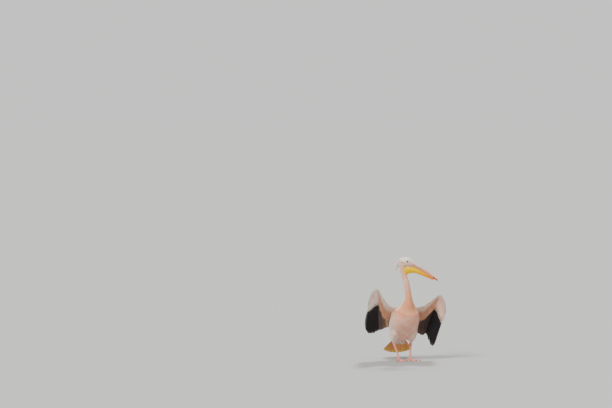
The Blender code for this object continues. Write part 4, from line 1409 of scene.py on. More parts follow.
@dataclass
class WingFeathers:
    """A wing's flight feathers and its rows of coverts, above and below."""

    wing: Wing
    root: float = 0.02  # reach where the flight feathers leave the bone
    tilt: float = 0.0030

    def seed(self, left: int, right: int) -> np.random.Generator:
        """The random draws of a group, by the side."""
        return np.random.default_rng(SEED + (left if self.wing.side is Side.LEFT else right))

    def flight(self, station: Station, finish: Material, slot: str) -> None:
        """Makes one group of flight feathers.

        Args:
            station: Which group.
            finish: Its material.
            slot: The record's slot.
        """
        word, first, last, count = station.value
        draw = self.seed(count, count + 50)
        pitch = (last - first) / count
        vane = {
            Station.PRIMARIES: Vane(22, 0.60, 1.40, 0.80, 1.9, shaft=0.0017, splits=2),
            Station.SECONDARIES: Vane(18, 0.85, 1.15, 0.88, 2.2, shaft=0.0012, splits=2),
            Station.TERTIALS: Vane(18, 0.95, 1.05, 0.82, 2.2, shaft=0.0011, splits=2, camber=0.003),
        }[station]
        half = pitch * (0.95 if station is Station.PRIMARIES else 1.15)
        # The inner flight feathers take the warm colour as painted backlit glow, most on the right wing.
        warmth = {
            Station.PRIMARIES: 0.0,
            Station.SECONDARIES: 0.3 if self.wing.side is Side.LEFT else 0.8,
            Station.TERTIALS: 0.4,
        }[station]
        shape = Shape()
        for k in range(count):
            full = 1.0 - draw.uniform(0.0, 0.02)

            def surface(share: Array, along: Array) -> tuple[Array, Array]:
                """The wing from the flight feathers' roots to their tips, this one's drawn in a little."""
                reach = self.root + (0.995 - self.root) * (along * full)
                spot, _, normal = self.wing.frame(share.clip(0.0, 1.0), reach)
                return spot, normal

            vane.grow(
                shape, surface, first + pitch * (k + 0.5), half, draw.normal() * pitch * 0.10, self.tilt,
                (k / count, 1.0 / count), draw, warmth * (1.0 - float(ease((k + 0.5) / count, 0.0, 0.75))),
            )
        made = outward(shape.made(f"{word}_{self.wing.side.word}_feathers", finish))
        place(made, slot, f"{word}_{self.wing.side.word}")

    def great_coverts(self, finish: Material) -> None:
        """Makes the last rows of coverts on each face, over the roots of the flight feathers."""
        for face, word in ((1.0, "upper"), (-1.0, "under")):
            shape = Shape()
            draw = self.seed(31 + int(face), 121 + int(face))
            count = 42
            vane = Vane(12, 0.95, 1.05, 0.86, 2.3, blade=0.00025, shaft=0.0005, splits=0, camber=0.0010)
            for row, (start, end, drop) in enumerate(((-0.30, 0.335, 0.0040), (-0.52, 0.16, 0.0060))):
                for k in range(count):
                    centre = float(np.interp((k + 0.5 + 0.5 * row) / count, (0.0, 0.44, 1.0), (0.0, 0.55, 1.0)))
                    stretch = draw.uniform(0.97, 1.03)

                    def surface(share: Array, along: Array) -> tuple[Array, Array]:
                        """The arm's face, with the feathers' tips resting on what they cover."""
                        share = share.clip(0.0, 1.0)
                        reach = start + (end - start) * along * stretch
                        spot, _, normal = self.wing.frame(share, reach)
                        rise = self.wing.half_depth(share, reach) - 0.002 + 0.0045 * along
                        rise = np.maximum(rise, drop * along)
                        return spot + normal * (rise * face)[..., None], normal

                    # Underneath, the coverts' warm colour is painted shade and backlit glow.
                    vane.grow(
                        shape, surface, centre, 1.45 / count, draw.normal() * 0.0025, 0.0012 * face,
                        ((k + row * count) / (2 * count), 0.5 / count), draw, self.stain(face, centre),
                    )
            place(outward(shape.made(f"great_coverts_{word}_{self.wing.side.word}", finish)), "plumage_white")

    def stain(self, face: float, share: Any) -> Any:
        """How much peach the coverts take: a faint blush on the upper face, and underneath painted shade and a warm
        backlit glow, deepest under the forearm.
        """
        hand = 0.42 if self.wing.side is Side.LEFT else 0.12
        return 0.10 if face > 0 else 0.80 + (hand - 0.80) * ease(share, 0.48, 0.62)

    def cover_points(self) -> Object:
        """Marks the roots of the small coverts in rows over both faces of the arm.

        Returns:
            Loose points with the marks that the coat's nodes read.
        """
        draw = self.seed(5, 45)
        rows = []
        fine = np.linspace(0.0, 1.0, 400)
        reach = -1.02
        while reach < 0.03:
            length = 0.012 + 0.034 * float(ease(reach, -1.0, -0.2))
            line = self.wing.point(fine, reach)
            run = np.concatenate([[0.0], np.cumsum(np.linalg.norm(np.diff(line, axis=0), axis=1))])
            count = int(run[-1] / (0.40 * length))
            for face in (1.0, -1.0):
                at = (np.arange(count) + draw.uniform(0, 1) + draw.uniform(-0.22, 0.22, count)) / count
                share = np.interp(at.clip(0, 1) * run[-1], run, fine)
                there = reach + draw.uniform(-0.025, 0.025, count)
                spot, along, normal = self.wing.frame(share, there)
                rise = self.wing.half_depth(share, there.clip(-1, 1)) - 0.0012 + 0.0036 * ease(there, -0.75, -0.40)
                rise = np.maximum(rise, 0.0010 + 0.0045 * ease(there, -0.5, 0.1))
                low = ease(there, -0.95, -0.60) if face < 0 else 1.0
                # Under the arm the blush and the tan are painted shade and backlit glow; above, a faint blush.
                stain = self.stain(face, share) * low
                rows.append({
                    "co": spot + normal * (rise * face)[:, None],
                    "up": normal * face,
                    "lie": along,
                    "root_place": joined(share, 0.25 + 0.2 * there + 0.25 * face + 0.25, 0.0),
                    "length": length * (1.0 - 0.35 * ease(share, 0.55, 1.0)),
                    "blush": (0.06 + 0.12 * ripple(spot, 0.08, 9) + stain).clip(0, 1),
                    "tan": 0.30 * (face < 0) * stain * np.ones(count),
                })
            reach += 0.30 * length / 0.13
        return ready_points("cover_points", {key: np.concatenate([row[key] for row in rows]) for key in rows[0]})

    def small_coverts(self, nodes: CoatNodes, finish: Material) -> None:
        """Lays the rows of small coverts.

        Args:
            nodes: The tree that lays feathers.
            finish: Their material.
        """
        quill = Quill(Cut.CONTOUR, droop=0.06)
        patch = CoatPatch(f"small_coverts_{self.wing.side.word}", "length", quill, 0.07, 0.10)
        nodes.lay(patch, self.cover_points(), finish, SEED + 60, sow=False)


class Drape:
    """A smooth cover over whatever lies under a sheet of places, for feathers that bridge what is below them."""

    bridge: float = 0.024  # the deepest hollow that it may lie over, in metres
    cells: int = 72
    widened: int = 3
    blurred: int = 9

    def __init__(
        self,
        ground: BVHTree,
        sheet: Sheet,
        across: tuple[float, float],
        along: tuple[float, float],
        face: float = 1.0,
        most: float = 0.15,
        least: float = -0.02,
    ) -> None:
        """Measures the heights over the sheet and smooths them.

        Args:
            ground: What lies below.
            sheet: Gives the point and the normal at a place across and a place along.
            across: The sheet's ends across.
            along: Its ends along.
            face: 1 for the side that the normals point to, -1 for the other.
            most: How far from the sheet the ground is looked for, in metres.
            least: The height that is kept where the ground is lower or missing.
        """
        self.sheet, self.across, self.along, self.face = sheet, across, along, face
        lines = (np.linspace(*ends, self.cells) for ends in (across, along))
        spots, normals = sheet(*np.meshgrid(*lines, indexing="ij"))
        height = np.full(spots.shape[:2], np.nan)
        for i, j in np.ndindex(height.shape):
            way = Vector(normals[i, j] * face)
            distance = ground.ray_cast(Vector(spots[i, j]) + way * most, -way, 2 * most)[3]
            if distance is not None:
                height[i, j] = most - distance
        self.found = (~np.isnan(height)).astype(float)
        height = np.maximum(np.nan_to_num(height, nan=least), least)
        raw = height
        for _ in range(self.widened):
            height = np.max(self.around(height), axis=0)
        for _ in range(self.blurred):
            height = np.mean(self.around(height), axis=0)
        self.height = height
        self.found *= height - raw < self.bridge

    @staticmethod
    def around(values: Array) -> list[Array]:
        """Each value's eight neighbours and itself."""
        held = np.pad(values, 1, mode="edge")
        rows, columns = values.shape
        return [held[i : i + rows, j : j + columns] for i in range(3) for j in range(3)]

    def read(self, across: Any, along: Any, rise: Any = 0.0) -> tuple[Array, Array, Array]:
        """Reads the cover.

        Args:
            across: Places across.
            along: Places along.
            rise: How far over the cover, in metres.

        Returns:
            The points, the sheet's normals, and how surely there is ground below.
        """
        across, along = spread(across, along)
        last = self.cells - 1
        ends = zip((across, along), (self.across, self.along))
        x, y = (((at - low) / (high - low) * last).clip(0.0, last - 0.001) for at, (low, high) in ends)
        i, j = x.astype(int), y.astype(int)
        u, v = x - i, y - j
        near, far = (1 - u, u), (1 - v, v)
        height, sure = (
            sum(near[a] * far[b] * held[i + a, j + b] for a, b in np.ndindex(2, 2))
            for held in (self.height, self.found)
        )
        spot, normal = self.sheet(across, along)
        return spot + normal * (self.face * (height + rise))[..., None], normal, sure


@dataclass
class Tail:
    """The fan of tail feathers and the coverts over their roots."""

    count: int = 16
    spread: float = math.radians(32.0)
    root_length: float = 0.055
    length: float = 0.250
    half_width: float = 0.073
    arch: float = 0.02
    drop: float = math.radians(55.0)
    pitch: float = math.radians(40.0)

    def surface(self) -> Sheet:
        """The fan's surface, from -1 to 1 across and 0 to 1 along."""
        forward = np.array([0.0, -math.cos(self.pitch), math.sin(self.pitch)])
        root = ORIGIN + np.array([0.0, 0.045, 0.425]) - 0.285 * forward
        way = np.array([0.0, math.cos(self.drop), -math.sin(self.drop)])
        up = np.array([0.0, math.sin(self.drop), math.cos(self.drop)])

        def spot_at(share: Array, along: Array) -> Array:
            """A point of the fan."""
            share, along = np.broadcast_arrays(share, along)
            angle = share * self.spread
            start = root + way * (self.root_length * 0.35) + (share * self.half_width * 0.9)[..., None] * LEFTWARDS
            full = self.length * (1.0 - 0.16 * share**2) - self.root_length * 0.35
            turn = np.cos(angle)[..., None] * way + (np.sin(angle) * (along > 0))[..., None] * LEFTWARDS
            lift = self.arch * (1.0 - share**2) * along
            return start + turn * (full * along)[..., None] + lift[..., None] * up

        def read(share: Array, along: Array) -> tuple[Array, Array]:
            """The point and the upper normal."""
            share, along = np.broadcast_arrays(share, along)
            step = 0.004
            across = spot_at(share + step, along) - spot_at(share - step, along)
            down = spot_at(share, along + step) - spot_at(share, along - step)
            return spot_at(share, along), unit(np.cross(across, down))

        return read

    def build(self, finish: Material, cover: Material, skin: Object) -> None:
        """Makes the fan and its coverts.

        Args:
            finish: The tail feathers' material.
            cover: The coverts' material.
            skin: What the coverts rest on.
        """
        draw = np.random.default_rng(SEED + 4)
        shape = Shape()
        surface = self.surface()
        pitch = 2.0 / self.count
        vane = Vane(18, 1.0, 1.0, 0.84, 2.2, shaft=0.0014, splits=3, camber=0.0015)
        order = sorted(range(self.count), key=lambda k: -abs(k - (self.count - 1) / 2))
        for rank, k in enumerate(order):
            centre = -1.0 + pitch * (k + 0.5)
            level = 0.0012 * (rank // 2) / self.count * 2

            def stacked(share: Array, along: Array) -> tuple[Array, Array]:
                """The fan, with the middle feathers on top."""
                spot, normal = surface(share.clip(-1.05, 1.05), along)
                return spot + normal * level, normal

            lean = -0.0022 if centre > 0 else 0.0022
            strip = (k / self.count, 1.0 / self.count)
            vane.grow(shape, stacked, centre, pitch, draw.normal() * 0.006, lean, strip, draw)
        place(outward(shape.made("tail_feathers", finish)), "plumage_blush", "tail_fan")
        ground = BVHTree.FromObject(skin, bpy.context.evaluated_depsgraph_get())
        for face, word, first in ((1.0, "upper", -0.36), (-1.0, "under", -0.16)):
            drape = Drape(ground, surface, (-1.1, 1.1), (first - 0.05, 0.6), face, 0.07, 0.001)
            shape = Shape()
            vane = Vane(7, 1.0, 1.0, 0.62, 2.0, blade=0.00025, shaft=0.0005, splits=0, camber=0.0010)
            rows = 10
            for row in range(rows):
                level = 0.13 + (first - 0.13) * row / (rows - 1)
                count = 14 - row * 2 // 3
                for k in range(count):
                    centre = (-0.94 + 1.88 * (k + 0.5) / count) * (1.0 if row % 2 else 0.95) * (0.86 + 0.10 * face)
                    length = (0.28 - 0.012 * row) * draw.uniform(0.90, 1.10)
                    start = level + draw.uniform(-0.02, 0.02) + 0.006 * row * centre**2

                    def over(share: Array, along: Array) -> tuple[Array, Array]:
                        """A covert's own run over the rump and the fan's root."""
                        sunk = 0.0095 * float(ease(-start, 0.05, 0.30)) * (1.0 - along) ** 1.2
                        rise = (0.0026 + 0.0006 * row) * (1.0 - 0.9 * (1.0 - along) ** 3) - sunk
                        return drape.read(share, start + length * along, rise)[:2]

                    # The under coverts take more of the warm colour as painted shade.
                    vane.grow(
                        shape, over, centre, 1.45 / count, draw.normal() * 0.02, 0.001,
                        ((row + k / count) / rows, 1.0 / (count * rows)), draw, 0.08 if face > 0 else 0.45,
                    )
            place(outward(shape.made(f"tail_coverts_{word}", cover)), "plumage_white")


# ---- mantle


@dataclass
class Mantle:
    """Long feathers of the shoulders that drape over the gap between the back and each wing."""

    rows: int = 24
    columns: int = 13
    length: float = 0.066

    def build(self, nodes: CoatNodes, finish: Material, skin: Object) -> None:
        """Roots each feather on whatever is uppermost there and points it at the place its tip comes down on.

        Args:
            nodes: The tree that lays feathers.
            finish: Their material.
            skin: The skin; the wing pieces are found by name.
        """
        grounds = [skin] + [
            made for made in bpy.context.scene.objects if made.name not in frame["nodes"]
            and made.name.startswith(("tertials_", "great_coverts_upper", "small_coverts"))
        ]
        up = unit(np.array([0.0, 0.64, 0.77]))
        down_back = unit(np.array([0.0, 0.77, -0.64]))

        def sheet(aside: Array, run: Array) -> tuple[Array, Array]:
            """The plane over the back, by distance to the left and down the back."""
            middle = ORIGIN + np.array([0.0, -0.01, 0.56])
            spot = middle + aside[..., None] * LEFTWARDS + run[..., None] * down_back
            return spot, np.broadcast_to(up, spot.shape)

        tree = BVHTree.FromPolygons(*soup(made.data for made in grounds)[:2])
        drape = Drape(tree, sheet, (-0.17, 0.17), (-0.10, 0.31), 1.0, 0.5, -0.5)
        draw = np.random.default_rng(SEED + 77)
        i, j, sign = np.meshgrid(np.arange(self.rows), np.arange(self.columns), (-1.0, 1.0), indexing="ij")
        i, j, sign = i.ravel(), j.ravel(), sign.ravel()
        stray = draw.uniform(-0.35, 0.35, (2, len(i)))
        down = (i + stray[0]) / self.rows
        out = (j + 0.5 * (i % 2) + 0.6 * stray[1]) / self.columns
        run = -0.055 + 0.255 * down - 0.020 * out
        aside = sign * (0.004 + (0.100 + 0.025 * down) * out)
        length = self.length * (0.45 + 0.55 * down) * draw.uniform(0.9, 1.1, len(i))
        root, _, sure = drape.read(aside, run, 0.0015)
        tip, _, sure_tip = drape.read(aside + sign * length * 0.22 * out, run + length, 0.0020)
        beside = drape.read(aside + 0.006, run)[0] - drape.read(aside - 0.006, run)[0]
        lie = unit(tip - root)
        steep = np.abs((tip - root) @ up) / length
        held = (sure > 0.98) & (sure_tip > 0.5) & (steep < 1.0)
        kept = held & (out < 0.14 + 2.6 * down) & (down < 1.02 - 0.55 * (1.0 - out) ** 3)
        marks = {
            "co": root, "lie": lie, "up": unit(np.cross(beside, lie)), "length": length, "tan": 0.0 * length,
            "root_place": joined((i + 0.5) / self.rows, 0.5 + sign * 0.46 * (j + 0.5) / self.columns, 0.0),
            "blush": (0.26 - 0.16 * down + 0.10 * ripple(root, 0.10, 3)).clip(0, 1),
        }
        marks = {name: values[kept] for name, values in marks.items()}
        patch = CoatPatch("mantle", "length", Quill(Cut.MANTLE, droop=0.03), 0.03, 0.10)
        nodes.lay(patch, ready_points("mantle_points", marks), finish, SEED + 61, sow=False)


def ready_points(name: str, marks: dict[str, Array]) -> Object:
    """Makes loose points that carry marks.

    Args:
        name: The object's name.
        marks: The points under "co", and numbers or vectors for each point under other names.

    Returns:
        The points' object, which the coat uses up.
    """
    mesh = bpy.data.meshes.new(name)
    mesh.from_pydata(marks["co"].tolist(), [], [])
    write_marks(mesh, {key: values for key, values in marks.items() if key != "co"})
    return in_scene(name, mesh)


# ---- head, bill and pouch


def head_loft(
    sections: Sequence[Sequence[float]],
    rows: int,
    around: int,
    power: float,
    relief: Callable[[Array, Array], Array],
    ends: tuple[float, float],
) -> tuple[Array, Array]:
    """A smooth form through upright sections square to the head's line.

    Args:
        sections: Rows of the distance ahead, the top, the bottom and half the width.
        rows: How many rings.
        around: How many points in a ring.
        power: 2 for an oval, more for a squarer section.
        relief: Gives the height of grooves and ridges at an angle from the top and a share of the length.
        ends: How far back from each end the form starts to round off.

    Returns:
        The points as rings, and their places on a map: round the section, and along the form.
    """
    first, last = sections[0][0], sections[-1][0]
    share = 0.5 - 0.5 * np.cos(np.linspace(0.0, math.pi, rows))
    share = 0.35 * share + 0.65 * np.linspace(0.0, 1.0, rows)
    along = first + (last - first) * share
    top, bottom, half = np.moveaxis(through(sections, along), -1, 0)
    angle = np.linspace(-math.pi, math.pi, around, endpoint=False)
    close = np.ones(rows)
    for gone, room in ((along - first, ends[0]), (last - along, ends[1])):
        if room > 0:
            close *= np.sqrt(np.clip(1.0 - (1.0 - np.clip(gone / room, 0.0, 1.0)) ** 2, 0.0025, 1.0))
    rise = np.broadcast_to(relief(angle[None, :], share[:, None]), (rows, around))
    sine, cosine = np.sin(angle), np.cos(angle)
    aside = np.sign(sine) * np.abs(sine) ** (2 / power)
    upward = np.sign(cosine) * np.abs(cosine) ** (2 / power)
    wide = (half[:, None] + rise) * close[:, None] * aside
    tall = ((top - bottom)[:, None] / 2 + rise) * close[:, None] * upward
    points = HEAD.world(along[:, None], wide, ((top + bottom) / 2)[:, None] + tall)
    return points, joined(angle / (2 * math.pi) + 0.5, share[:, None])


@dataclass
class Beak:
    """The upper bill with its hooked nail, the lower bill and the pouch."""

    upper: Table = (
        (0.0720, 1.1385, 1.0890, 0.0248), (0.0863, 1.1345, 1.0855, 0.0252), (0.122, 1.114, 1.071, 0.0245),
        (0.157, 1.096, 1.056, 0.0235), (0.195, 1.072, 1.034, 0.0225), (0.230, 1.047, 1.011, 0.0215),
        (0.265, 1.018, 0.986, 0.0205), (0.295, 0.990, 0.963, 0.0185), (0.3235, 0.963, 0.943, 0.0142),
    )
    nail: Table = (
        (0.3060, 0.9790, 0.9610, 0.0130), (0.3120, 0.9765, 0.9535, 0.0160), (0.3224, 0.9650, 0.9428, 0.0150),
        (0.336, 0.9545, 0.936, 0.0122), (0.349, 0.9475, 0.927, 0.0092), (0.3600, 0.9405, 0.920, 0.0052),
    )
    lower: Table = (
        (-0.016, 1.084, 1.070, 0.022), (0.016, 1.096, 1.079, 0.0270), (0.050, 1.098, 1.081, 0.0272),
        (0.088, 1.092, 1.075, 0.0258), (0.157, 1.064, 1.046, 0.0240), (0.230, 1.020, 1.002, 0.0220),
        (0.295, 0.972, 0.954, 0.0190), (0.3215, 0.953, 0.936, 0.0125),
    )
    pouch: Table = (
        (-0.050, 1.048, 0.990, 0.017), (-0.030, 1.070, 0.977, 0.0275), (0.000, 1.090, 0.987, 0.031),
        (0.040, 1.092, 1.004, 0.030), (0.090, 1.080, 1.008, 0.027), (0.140, 1.060, 0.997, 0.0245),
        (0.190, 1.034, 0.979, 0.0225), (0.240, 1.002, 0.960, 0.0205), (0.285, 0.967, 0.942, 0.0170),
        (0.314, 0.946, 0.934, 0.0100),
    )

    @staticmethod
    def groove(angle: Array, at: float, width: float) -> Array:
        """A bell across the section, on both sides of the top."""
        return bell(np.abs(angle), math.radians(at), math.radians(width))

    def upper_relief(self, angle: Array, share: Array) -> Array:
        """Ridge along the middle, a groove on each side of it, and the rolled edge of the mouth."""
        start = ease(share, 0.03, 0.14)
        ridge = 0.0009 * self.groove(angle, 0, 17) - 0.0014 * self.groove(angle, 33, 8) * start
        rail = 0.0006 * self.groove(angle, 52, 11) * start + 0.0011 * self.groove(angle, 108, 9) * start
        step = -0.0007 * self.groove(angle, 88, 7) * start
        wear = 0.00016 * np.sin(angle * 9 + 5 * np.sin(share * 17)) * np.sin(share * 40 + angle * 2)
        return ridge + rail + step + wear

    def nail_relief(self, angle: Array, share: Array) -> Array:
        """A keel along the hook and the faint grooves beside it."""
        return 0.0006 * self.groove(angle, 0, 20) - 0.0004 * self.groove(angle, 46, 10) + 0 * share

    def lower_relief(self, angle: Array, share: Array) -> Array:
        """The long groove on the outside of the lower bill."""
        return 0.0006 * self.groove(angle, 62, 12) - 0.0008 * self.groove(angle, 88, 9) + 0 * share

    def pouch_relief(self, angle: Array, share: Array) -> Array:
        """Slack lengthwise folds that wander a little, with small cross creases between them."""
        low = ease(np.abs(angle), math.radians(70), math.radians(120))
        wander = 1.3 * np.sin(share * 9.0) + 0.7 * np.sin(share * 23.0 + 1.0)
        folds = np.sin(angle * 13 + wander) + 0.6 * np.sin(angle * 23 - 1.7 * wander + 1.3)
        cross = np.sin(share * 95 + 4 * np.sin(angle * 5)) * (0.5 + 0.5 * np.sin(angle * 11 + 2.0))
        amount = 0.3 + 0.7 * ease(share, 0.05, 0.30)
        return (0.00055 * folds + 0.00022 * cross) * amount * (0.35 + 0.65 * low)

    def build(self) -> None:
        """Makes and dresses the four forms."""
        horn = KeratinFinish("pale_horn_bill_sheath", "E6C2B0", "A9B2C8", "DF7A50", "E88C5E").material()
        red = KeratinFinish("red_horn_bill_nail", "D9502C", "C23A20", "E0663A", "B93018", tip_from=0.5).material()
        edge = KeratinFinish(
            "blue_grey_horn_lower_bill", "C6AFA8", "B7A9AE", "E5A84C", "E39450", edge_from=0.52
        ).material()
        skin = PouchFinish().material()
        for name, node, slot, finish, sections, relief, size, ends in (
            ("bill_sheath", "bill_upper", "bill_horn", horn, self.upper, self.upper_relief, (150, 96, 2.3), (0, 0.01)),
            ("bill_hook", "bill_nail", "bill_nail_red", red, self.nail, self.nail_relief, (60, 64, 2), (0.006, 0.008)),
            ("jaw_rim", "bill_lower", "bill_horn", edge, self.lower, self.lower_relief, (150, 72, 2.6), (0.05, 0.01)),
            ("throat_pouch", "pouch", "pouch_skin", skin, self.pouch, self.pouch_relief, (210, 150, 2), (0.02, 0.012)),
        ):
            shape = Shape()
            points, maps = head_loft(sections, *size, relief, ends)
            shape.grid(points, {"Form": maps}, around=True, caps=True)
            place(outward(shape.made(name, finish)), slot, node)


@dataclass
class Eye:
    """One eye: the ball, and the bare skin round it with its lids."""

    side: Side
    radius: float = 0.0085
    forward: float = 0.020
    height: float = 1.137
    out: float = 0.0312
    opening: float = 0.0066
    rings: int = 40
    around: int = 120

    def ball(self, finish: Material) -> None:
        """Makes the eyeball, whose pole looks outwards and a little ahead."""
        middle = HEAD.world(self.forward, self.out * self.side.value, self.height)
        axis = unit(HEAD.left * self.side.value + HEAD.ahead * 0.20 + np.array([0.0, 0.0, 0.05]))
        across = unit(np.cross(axis, UPWARDS))
        upward = np.cross(across, axis)
        share = np.linspace(0.004, 0.996, 40)
        turn = circle(56)
        polar = (share * math.pi)[:, None]
        bulge = self.radius * (1.0 + 0.045 * bell(polar, 0.0, 0.55))
        ring = np.cos(turn)[None, :, None] * across + np.sin(turn)[None, :, None] * upward
        points = middle + (bulge * np.cos(polar))[..., None] * axis + (bulge * np.sin(polar))[..., None] * ring
        shape = Shape()
        shape.grid(points, {"Form": joined(turn / (2 * math.pi), share[:, None])}, around=True, caps=True)
        place(outward(shape.made(f"eyeball_{self.side.word}", finish)), "eye_dark", f"eye_{self.side.word}")

    def lids(self, finish: Material, ground: BVHTree) -> None:
        """Makes the bare skin from the lids' edge out to the feathers and the bill.

        Args:
            finish: Its material.
            ground: The skin that it lies on.
        """
        turn = circle(self.around)
        cosine, sine = np.cos(turn), np.sin(turn)
        trial = np.linspace(0.008, 0.075, 300)
        ahead = self.forward + cosine[:, None] * trial
        inside = (face_depth(ahead, self.height + sine[:, None] * trial) > -0.003) & (ahead < 0.0885)
        ends = np.argmin(np.pad(inside, ((0, 0), (0, 1))), axis=1)
        border = trial[ends.clip(1, len(trial) - 1)]
        for _ in range(3):
            border = (np.roll(border, 1) + 2 * border + np.roll(border, -1)) / 4
        opening = self.opening * (1.0 + 0.13 * np.cos(2 * turn) - 0.10 * np.maximum(sine, 0))
        share = np.linspace(0.0, 1.0, self.rings) ** 1.5
        reach = opening[None, :] + (border - opening)[None, :] * share[:, None]
        forward = self.forward + reach * cosine
        height = self.height + reach * sine
        aside = np.zeros_like(reach)
        way = Vector(-HEAD.left * self.side.value)
        for i, j in np.ndindex(aside.shape):
            start = HEAD.world(min(forward[i, j], 0.083), 0.12 * self.side.value, height[i, j])
            hit = ground.ray_cast(Vector(start), way)[0]
            aside[i, j] = 0.024 if hit is None else abs(HEAD.local(np.array(hit))[1])
        for _ in range(4):
            inner = (np.roll(aside, 1, axis=1) + 2 * aside + np.roll(aside, -1, axis=1)) / 4
            inner[1:-1] = (inner[:-2] + 2 * inner[1:-1] + inner[2:]) / 4
            aside = inner
        fold = 0.0008 + 0.0011 * (1.0 + 0.35 * sine) * bell(reach, 0.0078, 0.0013)
        for depth, middle, width in ((-0.0008, 0.0103, 0.0009), (0.0006, 0.0125, 0.0012), (-0.0004, 0.0148, 0.0010)):
            fold += depth * bell(reach, middle, width)
        spots = HEAD.world(forward, aside * self.side.value, height)
        fold += 0.00035 * ripple(spots, 0.007, 21) + 0.00018 * ripple(spots, 0.0028, 22)
        fold -= 0.0026 * ease(share, 0.88, 1.0)[:, None]
        on_ball = self.out + np.sqrt(np.clip((self.radius + 0.0005) ** 2 - reach**2, 0.0, 1.0))
        near = 1.0 - ease(reach, 0.0062, 0.0100)
        aside = (aside + fold) * (1.0 - near) + (on_ball + 0.0009 * ease(reach, 0.0058, 0.0068)) * near
        sheet = joined(forward, aside, height)
        sheet = np.concatenate([sheet[:1] - (0.0, 0.0016, 0.0), sheet])
        points = HEAD.world(sheet[..., 0], sheet[..., 1] * self.side.value, sheet[..., 2])
        shape = Shape()
        maps = joined(sheet[..., 0] * 8 + 0.1, (sheet[..., 2] - 1.05) * 8)
        margin = np.pad(bell(reach, opening, 0.0011), ((1, 0), (0, 0)), constant_values=1.0)
        marks = {"face": 1.0, "blush": 0.0, "lid": margin}
        shape.grid(points, {"Form": maps}, marks, around=True, flip=self.side is Side.LEFT)
        place(shape.made(f"bare_face_{self.side.word}", finish), "pouch_skin")


@dataclass
class Crest:
    """The loose drooping feathers of the nape."""

    count: int = 104
    line: Table = (
        (-0.2, -0.026, 1.166, 0.023, 0.011), (0.0, -0.059, 1.158, 0.027, 0.014), (0.2, -0.090, 1.138, 0.028, 0.0145),
        (0.4, -0.107, 1.105, 0.025, 0.0135), (0.6, -0.116, 1.070, 0.021, 0.0115), (0.8, -0.124, 1.038, 0.015, 0.0085),
        (1.0, -0.132, 1.010, 0.007, 0.0045),
    )

    def surface(self, turn: Array, at: Array, rise: Any) -> tuple[Array, Array]:
        """The drooping lump's surface.

        Args:
            turn: Angles around it.
            at: Places down it, from 0 at the nape to 1 at the tip.
            rise: How far off the surface, in metres.

        Returns:
            The points and the outward normals.
        """
        turn, at = np.broadcast_arrays(turn, at)
        ahead, height, half, thick = np.moveaxis(through(self.line, at), -1, 0)
        behind = unit(through(self.line, at + 0.01)[..., :2] - through(self.line, at - 0.01)[..., :2])
        outer = joined(behind[..., 1], -behind[..., 0])
        aside = np.maximum(half + rise, 0.0008) * np.cos(turn)
        out = np.maximum(thick + rise, 0.0006) * np.sin(turn)
        points = HEAD.world(ahead + outer[..., 0] * out, aside, height + outer[..., 1] * out)
        flat = outer[..., :1] * HEAD.ahead + outer[..., 1:] * UPWARDS
        normal = flat * (np.sin(turn) / thick)[..., None] + HEAD.left * (np.cos(turn) / half)[..., None]
        return points, unit(normal)

    def build(self, finish: Material) -> None:
        """Makes the crest.

        Args:
            finish: Its material.
        """
        draw = np.random.default_rng(SEED + 8)
        shape = Shape()
        rings = np.linspace(-0.14, 0.86, 30)[:, None]
        turn = circle(24)[None, :]
        maps = {"Vane": 0.5 + 0.2 * joined(np.cos(turn), rings)}
        maps["OFBake"] = 0.02 * maps["Vane"]
        core = self.surface(turn, rings, -0.0035)[0]
        shape.grid(core, maps, {"tint": 0.5, "warmth": 0.1}, around=True, caps=True)
        vane = Vane(9, 1.0, 1.0, 0.50, 1.7, blade=0.0004, shaft=0.0005, splits=0, camber=0.0006)
        for k in range(self.count):
            begin = draw.uniform(-0.18, 0.42)
            run = float(np.clip(begin + draw.uniform(0.38, 0.62), 0.0, 1.0)) - begin
            rise = draw.uniform(0.0, 0.0020)

            def strand(share: Array, along: Array) -> tuple[Array, Array]:
                """One feather's own run down the crest."""
                return self.surface(share, begin + run * along, rise - 0.002 * (1 - along) + 0.0015 * along**2)

            vane.grow(
                shape, strand, draw.uniform(0.0, 2 * math.pi), 0.34, draw.normal() * 0.10, 0.0003,
                (0.03 + 0.97 * k / self.count, 0.97 / self.count), draw, draw.uniform(0.0, 0.12),
            )
        place(outward(shape.made("nape_crest", finish)), "plumage_white", "crest")


# ---- legs and feet


def scutes(across: Array, along: Array, size: float, seed: float) -> Array:
    """Rounded plates on a staggered, slightly uneven lattice.

    Args:
        across: Distances across the surface, in metres.
        along: Distances along it.
        size: The plates' width.
        seed: Which lattice.

    Returns:
        0 in the seams, rising to 1 on the plates.
    """
    rise = size * 0.87
    best = np.full(np.shape(across), 1.0)
    second = np.full(np.shape(across), 1.0)
    for dj in (-1, 0, 1):
        j = np.floor(along / rise + 0.5) + dj
        for di in (-1, 0, 1):
            i = np.floor(across / size - 0.5 * (j % 2) + 0.5) + di
            chance = np.sin(i * 12.9898 + j * 78.233 + seed) * 437.585
            other = np.sin(i * 39.346 + j * 11.135 + seed) * 264.123
            x = (i + 0.5 * (j % 2) + 0.34 * (chance % 1.0 - 0.5)) * size
            y = (j + 0.34 * (other % 1.0 - 0.5)) * rise
            gap = np.hypot(across - x, along - y)
            second = np.minimum(second, np.maximum(best, gap))
            best = np.minimum(best, gap)
    return ease(second - best, 0.0, 0.38 * size)


